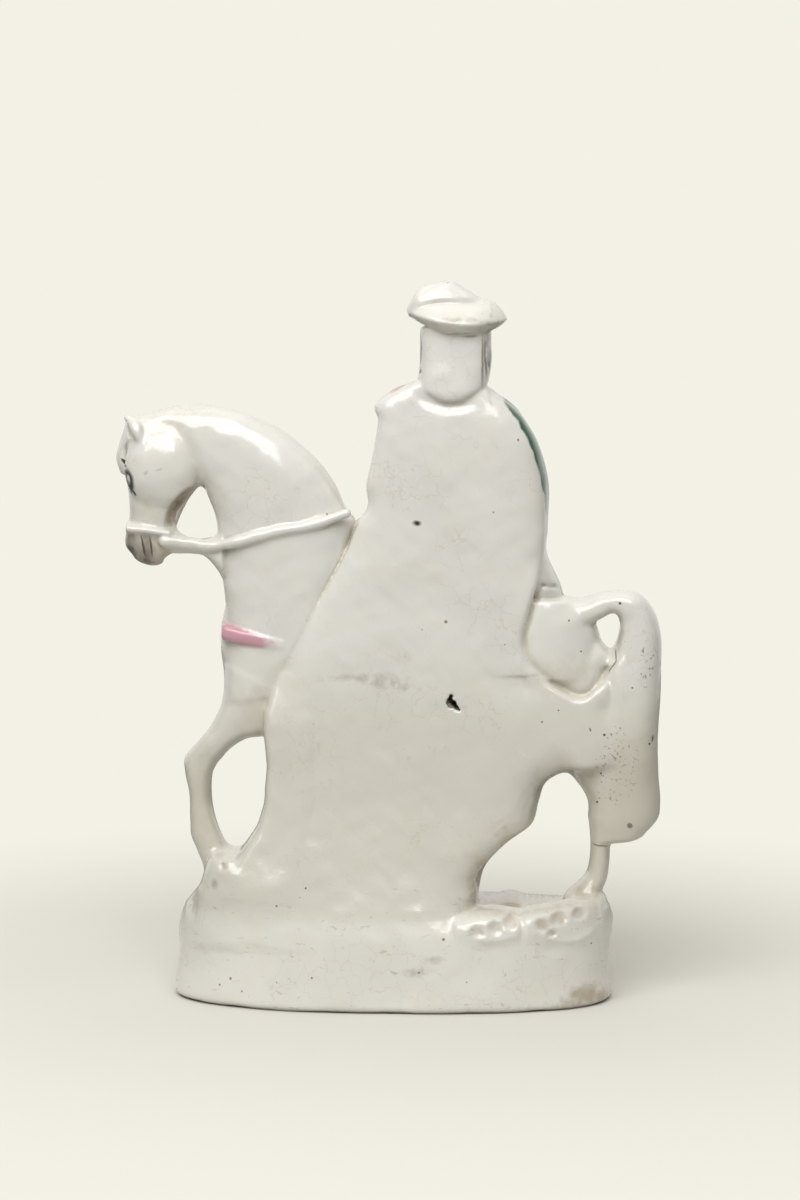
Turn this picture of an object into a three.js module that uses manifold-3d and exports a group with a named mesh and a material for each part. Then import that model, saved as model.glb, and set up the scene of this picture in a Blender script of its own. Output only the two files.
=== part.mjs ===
// A press-moulded earthenware flatback: a rider on a standing horse, on an oval ground.
// Millimetres, +Z up. The modelled front faces -Y, the flat back faces +Y, the horse faces +X.
// The origin is the middle of the underside.
//
// The figure is one cast piece, so every form here is joined into one solid. Most forms are
// "slips": lofts through a few stations, where a station is a cut across the form. Each
// station gives the two outline points of the cut as seen from the back, then how far the
// cut reaches to the front and to the back:
//     [ax, az, bx, bz, front, back]

import * as THREE from 'three';
import { LoftGeometry } from 'three/addons/geometries/LoftGeometry.js';
import { SimplifyModifier } from 'three/addons/modifiers/SimplifyModifier.js';
import { mergeVertices } from 'three/addons/utils/BufferGeometryUtils.js';
import Module from 'manifold-3d';

const wasm = await Module();
wasm.setup();

// Driving dimensions
const TOTAL_HEIGHT = 305;
const BASE_HALF_LENGTH = 93.6;
const BASE_HALF_DEPTH = 38;
const BASE_HEIGHT = 39.4;
const BASE_CENTRE_X = -2;
const SLAB_BACK = 15.5;
const BODY_BACK = 12.5;
const NECK_FRONT = -13;
const BARREL_FRONT = -27;
const LEG_BACK = 9;
const LEG_FRONT = -9;

// How finely curves are cut: faces round a form, and cuts between two stations
const SIDES = 12;
const CUTS = 2;

// Faces that the joined figure is brought down to where its surface is smooth
const FACES = 9600;

const GLAZE = new THREE.MeshStandardMaterial({ color: 0xdedcd5, roughness: 0.12, metalness: 0 });

// Solids from closed geometry

function signedVolume(positions, index) {
    const a = new THREE.Vector3();
    const b = new THREE.Vector3();
    const c = new THREE.Vector3();
    let sum = 0;
    for (let i = 0; i < index.length; i += 3) {
        a.fromArray(positions, 3 * index[i]);
        b.fromArray(positions, 3 * index[i + 1]);
        c.fromArray(positions, 3 * index[i + 2]);
        sum += a.dot(b.cross(c)) / 6;
    }
    return sum;
}

function solid(geometry) {
    geometry.deleteAttribute('normal');
    geometry.deleteAttribute('uv');
    const merged = mergeVertices(geometry, 1e-4);
    const vertProperties = new Float32Array(merged.attributes.position.array);
    const kept = [];
    for (let i = 0; i < merged.index.count; i += 3) {
        const [a, b, c] = merged.index.array.slice(i, i + 3);
        if (a !== b && b !== c && c !== a) {
            kept.push(a, b, c);
        }
    }
    if (signedVolume(vertProperties, kept) < 0) {
        kept.reverse();
    }
    const triVerts = new Uint32Array(kept);
    return new wasm.Manifold(new wasm.Mesh({ numProp: 3, vertProperties, triVerts }));
}

// The casting is solid: pockets of a few cubic millimetres between crossing forms are left out
function joined(solids) {
    const whole = solids.reduce((sum, next) => sum.add(next));
    return whole.decompose().sort((a, b) => b.volume() - a.volume())[0];
}

// Slips

function smooth(before, from, to, after, t) {
    const curve = 2 * from + (to - before) * t
        + (2 * before - 5 * from + 4 * to - after) * t * t
        + (3 * from - before - 3 * to + after) * t * t * t;
    return curve / 2;
}

function throughStations(stations, cuts) {
    const last = stations.length - 1;
    const rows = [];
    for (let i = 0; i < last; i++) {
        const four = [i - 1, i, i + 1, i + 2].map((k) => stations[Math.min(Math.max(k, 0), last)]);
        for (let s = 0; s < cuts; s++) {
            const part = s / cuts;
            rows.push(four[1].map((_, j) => smooth(four[0][j], four[1][j], four[2][j], four[3][j], part)));
        }
    }
    rows.push(stations[last]);
    return rows;
}

function power(value, exponent) {
    return Math.sign(value) * Math.abs(value) ** exponent;
}

// One cut, a rounded shape whose squareness is 2 for an ellipse and more for a slab
function cut(row, sides, square, scale = 1, shift = [0, 0]) {
    const [ax, az, bx, bz, front, back] = row;
    const middleX = (ax + bx) / 2 + shift[0];
    const middleZ = (az + bz) / 2 + shift[1];
    const middleY = (front + back) / 2;
    const points = [];
    for (let k = 0; k < sides; k++) {
        const angle = (2 * Math.PI * k) / sides;
        const across = scale * power(Math.cos(angle), 2 / square);
        const deep = scale * power(Math.sin(angle), 2 / square);
        points.push(new THREE.Vector3(
            middleX + (across * (ax - bx)) / 2,
            middleY + (deep * (back - front)) / 2,
            middleZ + (across * (az - bz)) / 2,
        ));
    }
    return points;
}

function middle(row) {
    return [(row[0] + row[2]) / 2, (row[1] + row[3]) / 2];
}

// Two domes close a slip, reaching past its first and last stations by the given lengths
function slip(stations, { square = 2.4, sides = SIDES, cuts = CUTS, domes = [2, 2] } = {}) {
    const rows = throughStations(stations, cuts);
    const sections = rows.map((row) => cut(row, sides, square));
    const dome = (row, inner, length) => {
        const [x, z] = middle(row);
        const [innerX, innerZ] = middle(inner);
        const run = Math.hypot(x - innerX, z - innerZ);
        const along = [((x - innerX) / run) * length, ((z - innerZ) / run) * length];
        return [0.55, 1].map((part) => {
            const angle = (part * Math.PI) / 2;
            const reach = Math.sin(angle);
            return cut(row, sides, square, Math.cos(angle), [along[0] * reach, along[1] * reach]);
        });
    };
    const end = rows.length - 1;
    sections.unshift(...dome(rows[0], rows[1], domes[0]).reverse());
    sections.push(...dome(rows[end], rows[end - 1], domes[1]));
    return solid(new LoftGeometry(sections));
}

function ball(x, y, z, rx, ry, rz) {
    const geometry = new THREE.SphereGeometry(1, 16, 10);
    geometry.rotateX(Math.PI / 2);
    geometry.scale(rx, ry, rz);
    geometry.translate(x, y, z);
    return solid(geometry);
}

// A round bar through points in space, thick at each point as its fourth number says
function bar(points, sides = 8) {
    const rows = throughStations(points, 3);
    const sections = rows.map(([x, y, z, radius], i) => {
        const before = rows[Math.max(i - 1, 0)];
        const after = rows[Math.min(i + 1, rows.length - 1)];
        const forward = new THREE.Vector3(...after).sub(new THREE.Vector3(...before)).normalize();
        const side = new THREE.Vector3(0, 1, 0).cross(forward);
        if (side.length() < 0.2) {
            side.set(1, 0, 0).cross(forward);
        }
        side.normalize();
        const other = forward.clone().cross(side);
        return Array.from({ length: sides }, (_, k) => {
            const angle = (2 * Math.PI * k) / sides;
            return new THREE.Vector3(x, y, z)
                .addScaledVector(side, radius * Math.cos(angle))
                .addScaledVector(other, radius * Math.sin(angle));
        });
    });
    return solid(new LoftGeometry(sections, { capStart: true, capEnd: true }));
}

// The oval base and the ground on it

// Stacked ovals: height, then how much longer and deeper than the base, and the shift along X
function oval(levels) {
    const around = 56;
    const square = 2.35;
    const sections = levels.map(([z, longer, deeper, shift]) => Array.from({ length: around }, (_, k) => {
        const angle = (2 * Math.PI * k) / around;
        return new THREE.Vector3(
            BASE_CENTRE_X + shift + (BASE_HALF_LENGTH + longer) * power(Math.cos(angle), 2 / square),
            (BASE_HALF_DEPTH + deeper) * power(Math.sin(angle), 2 / square),
            z,
        );
    }));
    return solid(new LoftGeometry(sections, { capStart: true, capEnd: true }));
}

function base() {
    return oval([
        [0, -1.6, -1.4, 0],
        [1.2, -0.3, -0.2, 0],
        [4, 0, 0, 0],
        [14, -1.3, -0.9, 0],
        [24, -1.7, -1.2, -0.5],
        [31, -1.4, -1.9, -1.4],
        [35.5, -1.6, -4.4, -1.8],
        [BASE_HEIGHT, -3.6, -9, -1.9],
    ]);
}

// Two low lobes of ground lie on the back rim, under the gap between the hind legs
function groundLobes() {
    return [
        slip([[-30, 34, -30, 41.6, 8, 36.4], [-43, 31.5, -43, 43, 8, 35.9], [-56, 33.5, -56, 42, 8, 33.2]],
            { domes: [4, 4] }),
        slip([[-60, 34, -60, 42, 8, 32.6], [-71, 30.8, -71, 43.6, 6, 29.6], [-83, 31, -83, 44.6, 2, 23.4],
            [-90, 34, -90, 44.6, 0, 15]], { domes: [4, 2.6] }),
    ];
}

// The low bank that the raised foreleg stands on, and rockwork along the front
function banks() {
    return [
        slip([[89, 36, 40, 36, -20, 22], [84, 44, 44, 44, -15, 19], [79, 50, 48, 50, -12, 16],
            [76, 57, 52, 57, -9, 13]], { square: 2.6, domes: [2, 3] }),
        ball(20, -14, 40, 34, 20, 17),
        ball(-20, -14, 39, 30, 18, 9),
    ];
}

// The flat back: one slab from the shoulders to the base, flaring out to the base wall

function backSlab() {
    const slab = slip([
        [-11, 263, -41, 261, -8, 12.5],
        [-1.5, 259, -46.5, 257, -10, 13.4],
        [5.4, 253.2, -51.6, 253.2, -12, 14],
        [3.8, 246, -57.6, 246, -12, 15],
        [6, 234, -63, 234, -12, SLAB_BACK],
        [9, 220, -66, 220, -12, SLAB_BACK],
        [8.5, 211, -66.8, 211, -12, SLAB_BACK],
        [14.5, 201, -66.6, 201, -12, SLAB_BACK],
        [19.5, 188, -65.6, 188, -12, SLAB_BACK],
        [26.5, 176, -63, 177, -12, SLAB_BACK],
        [33.5, 162, -59.2, 162.6, -12, 15.8],
        [36.8, 155.6, -58.4, 155.4, -12, 16],
        [41, 147.6, -60.6, 147.8, -12, 16.2],
        [44.4, 140.9, -67.4, 140.7, -12, 16.3],
        [46.9, 135.4, -76, 134.8, -12, 16.4],
        [48.4, 132, -87, 131.6, -11, 16.5],
        [50.6, 127, -103, 127, -10, 16.7],
        [52, 121, -109, 121, -9, 16.9],
        [51.6, 112, -109, 112, -8, 17.2],
        [50.8, 104, -100, 104, -8, 17.8],
        [50.6, 98, -79, 98.4, -8, 18.6],
        [50.9, 92, -68.2, 93, -8, 19.4],
        [51.6, 85, -65, 85, -8, 20.6],
        [55, 75, -62, 74.6, -8, 22.6],
        [60, 66.5, -51.8, 66.7, -9, 24.8],
        [66, 57, -42.2, 57, -11, 28],
        [74, 48, -39.2, 48, -14, 31.5],
        [80, 38, -38.4, 38, -18, 35.6],
        [80, 30, -38.4, 30, -18, 36.2],
    ], { square: 4.6, sides: 20, cuts: 1, domes: [2, 2] });
    // Where it reaches the ground it keeps inside the base's oval
    return slab.intersect(oval([
        [-10, -1.7, -1.2, -0.5],
        [42, -1.7, -1.2, -1],
        [54, 2, 1, -1],
        [80, 50, 12, 0],
        [300, 50, 12, 0],
    ]));
}

// The horse

function neck() {
    return slip([
        [26, 150, 69.3, 142, -22, BODY_BACK],
        [19, 176, 69.2, 164, -19, BODY_BACK],
        [15.8, 192, 70.2, 178, -16, BODY_BACK],
        [14, 203.5, 72.2, 194, NECK_FRONT, BODY_BACK],
        [18.2, 209.7, 73, 205, NECK_FRONT, BODY_BACK],
        [28.2, 226.6, 75.6, 212.6, NECK_FRONT, BODY_BACK],
        [38, 236.4, 78, 217, NECK_FRONT, 12.3],
        [50, 244.6, 80.5, 219.6, NECK_FRONT, 12],
        [66.8, 251, 87, 222, -12.5, 11.5],
        [79.5, 252.8, 93, 223, -12, 11],
        [94.4, 251.4, 99, 227, -11.5, 10.5],
        [103, 247.6, 103, 231, -10, 9],
    ], { square: 2.5, sides: 20 });
}

function horseHead() {
    const skull = slip([
        [110.5, 246.5, 88, 240, -12, 9],
        [111.8, 238, 82, 229, -13, 11],
        [111.4, 228.5, 80.5, 219.5, -13, 11.5],
        [110.8, 220.5, 84.8, 212.4, -12.5, 10.5],
        [109.9, 212, 89.2, 204, -11, 9.3],
        [109.8, 204.5, 91.2, 197.5, -9.5, 8.6],
        [111.2, 198, 92, 192.2, -9.5, 8.8],
        [111.6, 191.8, 95.3, 187.6, -8.8, 8.2],
    ], { square: 2.3, domes: [4, 3.6] });
    const brow = slip([[112, 243.8, 100, 242, -10, 0], [114.8, 236.6, 100, 235, -12, 1],
        [116.2, 227, 100, 226, -12.5, 1.5], [113, 217, 102, 216.4, -11, 2]], { domes: [3, 2] });
    const cheek = ball(95.5, 6.5, 226, 15.5, 7.5, 15.5);
    const farCheek = ball(95.5, -8, 226, 15, 7.5, 15);
    const noseband = slip([[110, 203.4, 109.8, 198.6, -10.6, 10], [101, 202.6, 100.6, 197.6, -11.4, 11],
        [92, 201.4, 91, 196.2, -10.4, 10.4]], { sides: 10, cuts: 1, domes: [1, 1] });
    const nearEar = slip([[111.4, 246.6, 109.6, 248.6, 3, 6.4], [109.4, 242.6, 103.8, 245, 1, 9.8],
        [106, 237.6, 99.6, 239.6, 2, 10.2]], { sides: 10, domes: [0.9, 2] });
    const farEar = slip([[112.2, 245.6, 110.2, 247.6, -8.5, -4], [110, 242, 104.2, 246, -11, -2],
        [106.2, 237, 99, 240, -12, -3]], { sides: 10, domes: [0.9, 2] });
    return [skull, brow, cheek, farCheek, noseband, nearEar, farEar];
}

// The rein is a thick free strand between bit and neck, then low relief up to the rider's hand
function reins() {
    const strand = slip([[95, 201, 95, 189.6, -5, 8], [89, 198.6, 89, 189.7, -5, 7.5],
        [83, 195.8, 83, 189.9, -5, 7.4], [77, 195.8, 77, 188.6, -6, 8], [70, 198.5, 70, 181, -8, 10]],
    { domes: [2, 2] });
    const back = bar([[94, 8.5, 195.6, 3], [83, 6.5, 194.4, 2.9], [73, 9.5, 194, 2.6], [60, 11.6, 196.6, 2.4],
        [46, 12.1, 200.4, 2.3], [32, 12, 203, 2.2], [17, 11.5, 208, 2]]);
    const front = bar([[94, -8, 196, 3], [83, -6, 195, 2.9], [73, -11, 195.5, 2.6], [58, -14.2, 197.5, 2.4],
        [42, -16, 199, 2.3], [28, -21, 198.4, 2.2], [18, -25, 198, 2]]);
    return [strand, back, front];
}

function horseBody() {
    const barrel = slip([
        [66.5, 166, 67, 143, -15, 9],
        [61, 172, 60, 130, -23, 12],
        [50, 178, 50, 117, -26, BODY_BACK],
        [30, 182, 30, 112, BARREL_FRONT, BODY_BACK],
        [2, 181, 2, 109, BARREL_FRONT, BODY_BACK],
        [-30, 181, -30, 110, BARREL_FRONT, BODY_BACK],
        [-58, 180, -58, 108, BARREL_FRONT, BODY_BACK],
        [-74, 170, -78, 108, -26, 12],
        [-83, 155, -94, 113, -21, 11],
    ], { square: 2.3, domes: [3, 3] });
    const rump = ball(-73.6, 5, 154.5, 15.4, 9.3, 19.5);
    const haunch = slip([[-58, 158, -84, 156, -24, 10], [-61, 140, -99, 135, -25, 12],
        [-66, 118, -104, 114, -22, 13], [-75, 100, -104, 97, -18, 12], [-84, 88, -105, 86, -14, 10]],
    { domes: [4, 4] });
    const breast = ball(56, -8, 150, 15, 16, 22);
    return [barrel, rump, haunch, breast];
}

function legs() {
    const raisedFore = slip([
        [68.6, 142, 42, 130, -20, 11],
        [69.8, 129.5, 49, 113.5, -17, 11],
        [74.6, 118, 60.6, 110.4, -13, 10.5],
        [80.4, 110.4, 68.4, 105.2, -10, 10],
        [86.8, 102.6, 74, 98.6, -9.4, LEG_BACK],
        [86.6, 96, 75.8, 92.6, -8.6, LEG_BACK],
        [84.8, 85, 75.6, 83, -7.6, 8],
        [84.5, 71, 73, 72.2, -7.6, 8],
        [82.2, 63, 69, 63.6, -8, 8.6],
        [79, 54.5, 64, 58, -9, 10],
    ], { domes: [4, 4] });
    const standingFore = slip([
        [56, 132, 31, 130, -25, -6],
        [52, 116, 34, 114, -25, -5],
        [49.6, 98, 36.5, 97, -24, -4],
        [49.4, 90, 36.5, 89, -24.5, -4],
        [48.4, 78, 39, 77.5, -22, -4],
        [49.5, 60, 40, 59, -22, -5],
        [53.5, 52, 40, 50, -25, -6],
        [56, 40, 38, 39, -28, -7],
    ], { domes: [4, 2] });
    const farHind = slip([
        [-48, 124, -82, 120, -26, -6],
        [-50, 106, -73, 99, -25, -5],
        [-50.5, 92, -63.4, 89, -24, -4],
        [-48.5, 82, -62.4, 77.6, -22, -3],
        [-41.5, 70, -53, 66, -19, -2],
        [-33, 58.6, -43, 55, -19, -2],
        [-28, 50.5, -38.4, 48, -22, -3],
        [-23, 40, -38.6, 39, -26, -4],
    ], { domes: [4, 2] });
    const nearHind = slip([
        [-95.4, 80, -86, 79, LEG_FRONT, 9],
        [-94.4, 66, -86.2, 67, -8, 8],
        [-94, 57, -85.6, 59, -7.5, 7.5],
        [-93, 51, -84.3, 54, -8, 8],
        [-91.4, 46.6, -81, 49.6, -9, 9.5],
        [-93.4, 42.6, -75.5, 44, -11, 12],
        [-93.5, 36, -74, 36, -12, 14],
    ], { domes: [3, 2] });
    return [raisedFore, standingFore, farHind, nearHind];
}

// The tail arches away from the rump, leaves a small eye, and falls to meet the hind leg
function tail() {
    return slip([
        [-75, 171.4, -80, 158, -11, 9],
        [-82.5, 171.6, -86, 161, -11, 9.5],
        [-90, 174, -90.4, 163.6, -10, 9.5],
        [-98.4, 175.4, -94.4, 165.6, -10, 9.5],
        [-106.6, 173, -97, 164.4, -10.5, 10],
        [-112.6, 165, -97.8, 159, -11, 10.5],
        [-115.4, 154, -96.4, 151.6, -12, 11],
        [-115.6, 145, -92, 143, -13, 12],
        [-115.2, 132, -89, 131, -14, 14],
        [-114.2, 118, -87.6, 117, -14.5, 15],
        [-114.2, 105, -86, 104, -14, 15],
        [-114.8, 95, -84, 92, -13, 14.5],
        [-115.5, 86, -85.4, 83, -12, 13.5],
        [-114.6, 78, -86.2, 76, -11, 12.5],
        [-109.5, 71.4, -87.4, 69.2, -9, 11],
    ], { square: 2.6, domes: [3, 3.4] });
}

// The rider

function riderHead() {
    const hair = slip([
        [-13.6, 284, -43, 283, -12, 12.5],
        [-13.6, 272, -43.4, 272, -13, 14.4],
        [-13.6, 263, -42, 262, -12, 15.6],
        [-16.5, 257.5, -39.5, 257.5, -9, 15],
    ], { square: 2.9, domes: [1, 2.4] });
    const face = ball(-28, -8, 271, 10.5, 11.5, 13.5);
    const jaw = ball(-28, -9.5, 263.5, 8, 8, 8);
    const nose = slip([[-26.8, 274.5, -29.2, 274.5, -19.6, -14], [-26.2, 271, -29.8, 271, -21.8, -14],
        [-25.4, 268.4, -30.6, 268.4, -22.6, -14]], { sides: 8, cuts: 1, domes: [1, 1] });
    const throat = slip([[-21, 266, -35, 266, -12, 6], [-19, 250, -37, 250, -13, 6]], { domes: [2, 2] });
    return [hair, face, jaw, nose, throat];
}

// A low crown inside a wide cocked brim, with an ostrich plume laid over it
function hat() {
    const around = 24;
    // height, share of the full width, share of the full depth
    const rings = [
        [281.8, 0.66, 0.62],
        [283.4, 0.8, 0.78],
        [288.2, 1, 1],
        [290, 1, 1],
        [294.6, 0.82, 0.8],
        [297, 0.6, 0.55],
    ];
    const sections = rings.map(([z, wide, deep]) => Array.from({ length: around }, (_, k) => {
        const angle = (2 * Math.PI * k) / around;
        const x = 20.6 * wide * Math.cos(angle);
        const cocked = 1.3 * Math.cos(2 * angle) + 0.03 * x;
        return new THREE.Vector3(-28.8 + x, 1 + 18 * deep * Math.sin(angle), z + cocked);
    }));
    const brim = solid(new LoftGeometry(sections, { capStart: true, capEnd: true }));
    const plume = slip([
        [-9.2, 290, -9.8, 296.5, -9, 8],
        [-12.5, 289, -13, 301.6, -12, 11],
        [-19, 289, -19.4, 304, -13, 12],
        [-26, 289, -26.4, TOTAL_HEIGHT - 0.2, -13, 12],
        [-33, 289, -34.2, 301, -12, 10.5],
        [-40, 289, -41.6, 296, -10, 8],
    ], { domes: [1, 3] });
    return [brim, plume];
}

function riderBody() {
    const chest = slip([
        [-12, 258, -44, 258, -12, 6],
        [2, 251, -54, 250, -19, 8],
        [2, 240, -55, 238, -23, 8],
        [-4, 226, -52, 224, -24, 8],
        [-9, 212, -47, 211, -24, 8],
        [-6, 200, -50, 199, -25, 8],
        [0, 186, -54, 185, -27, 8],
    ], { square: 2.5, domes: [3, 4] });
    const reinArm = bar([[-5, -8, 247, 7], [-3, -12, 235, 7], [0.5, -17, 220, 6.6], [7, -20, 205.5, 5.4],
        [13, -22, 198.5, 4.6]]);
    const reinHand = ball(15.5, -22.5, 197, 5, 4.6, 4.4);
    const restingArm = bar([[-48, -9, 246, 7], [-54.5, -14, 233, 7], [-54, -20, 219, 6.8], [-45, -25, 207, 5.4],
        [-38, -28, 201, 4.6]]);
    const restingHand = ball(-35, -30, 199, 5.2, 4.2, 4);
    const collar = slip([[-14, 256, -43, 256, -13, 4], [-16, 251, -41, 251, -20.5, 4]], { domes: [1.5, 2] });
    return [chest, reinArm, reinHand, restingArm, restingHand, collar];
}

function ridersLeg() {
    const thigh = bar([[-36, -21, 190, 12], [-18, -25, 184, 11.4], [-2, -27.5, 174, 9.8],
        [4, -28.4, 165, 8.4]], 10);
    const shin = bar([[4, -28.4, 166, 8.4], [2.5, -28.6, 154, 7.6], [-1, -28, 140, 6.2],
        [-3, -27.8, 128, 5.4]], 10);
    const foot = bar([[-8, -27.6, 123.6, 4.6], [-2, -28, 123.8, 5], [6, -28.6, 121.4, 4.4],
        [12, -29, 119.6, 3]]);
    const bootTop = bar([[3.8, -28.4, 163.6, 9.4], [3, -28.4, 158.4, 9.2]], 12);
    return [thigh, shin, foot, bootTop];
}

// The cloak hangs from the far shoulder in long folds and spreads on the horse's back
function cloak() {
    const fall = slip([
        [-38, 252, -53.5, 251, -12, 10],
        [-44, 240, -62.5, 238, -16, 12],
        [-47, 222, -67.2, 222, -18, 13],
        [-46, 204, -67.6, 204, -22, 13],
        [-46, 190, -67, 190, -25, 13],
        [-44, 175.5, -73, 175, -28, 10],
        [-44, 160, -76, 160, -30, 0],
    ], { square: 2.8, domes: [2, 5] });
    const folds = [0, 1, 2].map((n) => {
        const lean = 7.5 * n;
        return bar([[-47 - 3.5 * n, -15, 246 - 3 * n, 1.6], [-50 - 5 * n, -18.5, 222, 2.4],
            [-50 - 6 * n, -23.5, 196, 2.8], [-50 - lean, -29, 174, 2.8],
            [-51 - 1.3 * lean, -30.4, 160, 2.2]], 6);
    });
    return [fall, ...folds];
}

// A shaped cloth lies under the saddle on the modelled side, with the saddle's roll over it
function saddleCloth() {
    const cloth = slip([
        [14, 184, 18, 146, -29.2, -16],
        [0, 186, 2, 139, -29.8, -16],
        [-20, 186, -20, 136, -30, -16],
        [-40, 184, -42, 139, -29.8, -16],
        [-52, 180, -56, 148, -28.6, -16],
    ], { square: 4, cuts: 1, domes: [2, 2] });
    const roll = ball(9, -16, 188, 7, 16, 9);
    return [cloth, roll];
}

function breastStrap() {
    const back = slip([[69, 160.4, 69, 153.2, 0, 11], [58, 158.6, 58, 151.6, 4, BODY_BACK + 0.7],
        [44, 155.4, 44, 149.6, 6, BODY_BACK + 0.9]], { sides: 10, domes: [0.6, 1] });
    const front = slip([[69, 160.4, 69, 153.2, -17, 0], [58, 160, 58, 152.6, -25, 0],
        [36, 163, 36, 156, -28.4, 0], [16, 167, 16, 160, -30.2, 0]], { sides: 10, domes: [0.6, 1] });
    return [back, front];
}

// A ragged vent that let the kiln gases out, pressed through the middle of the back
function vent() {
    return bar([[-24, 30, 134, 3.2], [-25, 14, 131.6, 2.6], [-27, 4, 131, 2]], 7);
}

async function figure() {
    const whole = joined([
        base(),
        ...groundLobes(),
        ...banks(),
        backSlab(),
        neck(),
        ...horseHead(),
        ...reins(),
        ...horseBody(),
        ...legs(),
        tail(),
        ...riderHead(),
        ...hat(),
        ...riderBody(),
        ...ridersLeg(),
        ...cloak(),
        ...saddleCloth(),
        ...breastStrap(),
    ]).subtract(vent());
    const { vertProperties, triVerts } = whole.getMesh();
    const geometry = new THREE.BufferGeometry();
    geometry.setAttribute('position', new THREE.BufferAttribute(vertProperties, 3));
    geometry.setIndex(new THREE.BufferAttribute(triVerts, 1));
    const spare = (whole.numTri() - FACES) / 2;
    const mesh = new THREE.Mesh(await new SimplifyModifier().modify(geometry, spare), GLAZE);
    mesh.name = 'mounted_rider_flatback';
    return mesh;
}

const group = new THREE.Group();
group.add(await figure());

export default group;
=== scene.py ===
import math

import bpy
import numpy as np
import openvdb as vdb
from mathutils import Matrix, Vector


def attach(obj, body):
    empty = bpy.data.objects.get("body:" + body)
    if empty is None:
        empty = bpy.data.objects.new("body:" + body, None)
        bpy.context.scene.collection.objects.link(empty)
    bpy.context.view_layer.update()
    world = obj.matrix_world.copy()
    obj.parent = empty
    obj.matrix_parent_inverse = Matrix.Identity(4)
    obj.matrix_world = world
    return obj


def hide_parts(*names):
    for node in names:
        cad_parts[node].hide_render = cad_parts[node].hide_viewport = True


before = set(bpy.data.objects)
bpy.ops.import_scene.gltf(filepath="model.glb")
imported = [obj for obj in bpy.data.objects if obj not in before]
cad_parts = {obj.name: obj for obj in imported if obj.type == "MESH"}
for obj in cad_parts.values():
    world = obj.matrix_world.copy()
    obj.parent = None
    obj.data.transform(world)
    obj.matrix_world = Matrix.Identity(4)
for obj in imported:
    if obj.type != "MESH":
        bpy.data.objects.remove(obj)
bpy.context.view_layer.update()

bl_info = {
    "name": "Rider Flatback",
    "version": (1, 0, 0),
    "blender": (4, 5, 0),
    "location": "View3D > Sidebar > Flatback",
    "description": "A press-moulded, lead-glazed earthenware flatback of a rider, seen from its plain back",
    "category": "Object",
}

NODE = "mounted_rider_flatback"
PIECE = "glazed_rider_flatback"
MILLIMETRE = 0.001

# The photograph's camera: degrees round from the front, degrees up, and the point that it faces, in metres
CAMERA_TURN = 183
CAMERA_LIFT = 7
CAMERA_AIM = (-0.0049, 0, 0.1703)

CLAY_LOW = (-121, -43, -5)
CLAY_HIGH = (121, 43, 310)


# Sizes and colours that a user would change

class FlatbackSizes(bpy.types.PropertyGroup):
    pitch: bpy.props.FloatProperty(
        name="Pitch", description="Distance between the points where the clay's surface is worked out, in mm",
        default=0.62, min=0.4, max=2.0)
    faces: bpy.props.IntProperty(
        name="Faces", description="Triangles that the finished surface is brought down to",
        default=188000, min=20000, max=195000)
    relief: bpy.props.FloatProperty(
        name="Relief", description="Strength of the pressed and tooled relief, where 1 is the real one",
        default=1.0, min=0.0, max=2.0, subtype="FACTOR")
    camera_distance: bpy.props.FloatProperty(
        name="Camera distance", description="From the middle of the figure to the camera",
        default=1.411, min=0.5, max=5.0, unit="LENGTH")
    camera_lens: bpy.props.FloatProperty(
        name="Focal length", description="Focal length of the camera, in mm",
        default=100.0, min=20.0, max=300.0)


def enamel(name, description, colour):
    return bpy.props.StringProperty(name=name, description=description, default=colour)


class FlatbackColours(bpy.types.PropertyGroup):
    glaze: enamel("Glaze", "Clear lead glaze over the cream body", "#dad8d1")
    cool: enamel("Cool glaze", "Glaze where it turns greyer", "#d3d2cc")
    warm: enamel("Warm glaze", "Glaze where it turns creamier", "#d9d4c6")
    # Greyer glaze low on the body: partly stain from handling, partly painted shade that darkens the body
    # between 30 and 165 mm high
    aged_and_shaded: enamel("Aged glaze", "Glaze greyed by handling, low on the body", "#c6c3b7")
    # Glaze lying thick in the hollows is real; the same colour is also laid as painted shade below the cheek,
    # on the legs, under the rump and the hat brim, along the gaps and in the tail's eye, with some stain low
    # on the body
    pooled_glaze_and_shade: enamel("Pooled glaze", "Glaze where it lies thick in a hollow", "#c4bdab")
    # Stained glaze in dimples, on the muzzle and at the foot; the same colour also lays stain and painted
    # shade on the ground behind the lobes and along the edges of the gaps
    thick: enamel("Thick glaze", "Stained glaze in dimples, on the muzzle and at the foot", "#ab9f88")
    # Real dirt, cracks and specks; the same colour also lays painted shadow under the hat brim and along the
    # foot, and painted shade in the mound's hollow, a crevice at the hind gap and the tail's eye
    dirt: enamel("Dirt", "Old dirt in crevices, pinholes and cracks", "#5d4a38")
    # Stained craze lines; the same colour also lays painted shade on the wall under the horse's chin
    crazing_and_shade: enamel("Crazing", "Stained craze lines", "#b39c82")
    green: enamel("Cloak", "Green enamel of the cloak", "#1f5a3f")
    pink: enamel("Straps", "Pink enamel of straps and cloth", "#c48f9b")
    red: enamel("Coat", "Red enamel of the coat", "#a83a2d")
    flesh: enamel("Flesh", "Flesh tint of face and hands", "#e9bfa3")
    black: enamel("Black", "Black enamel of eyes, brows and specks", "#231f1e")
    brown: enamel("Brown", "Brown enamel of mane, tail and small marks", "#4c3527")
    grey: enamel("Muzzle", "Smoky grey of muzzle and hooves", "#8d857b")
    ground: enamel("Ground", "Green wash of the ground", "#7f9a63")
    gold: enamel("Gilt", "Worn gilt lines", "#b58a3a")
    ochre: enamel("Ochre wash", "Ochre brushed on the ground", "#b7894f")
    umber: enamel("Umber", "Dark brown of hair, boots and hooves", "#3a2c26")
    backdrop: enamel("Backdrop", "The pale backdrop", "#f3f1e6")
    floor: enamel("Floor", "Pale paper floor", "#cfcdc6")


def sizes():
    return bpy.context.scene.flatback_sizes


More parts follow.
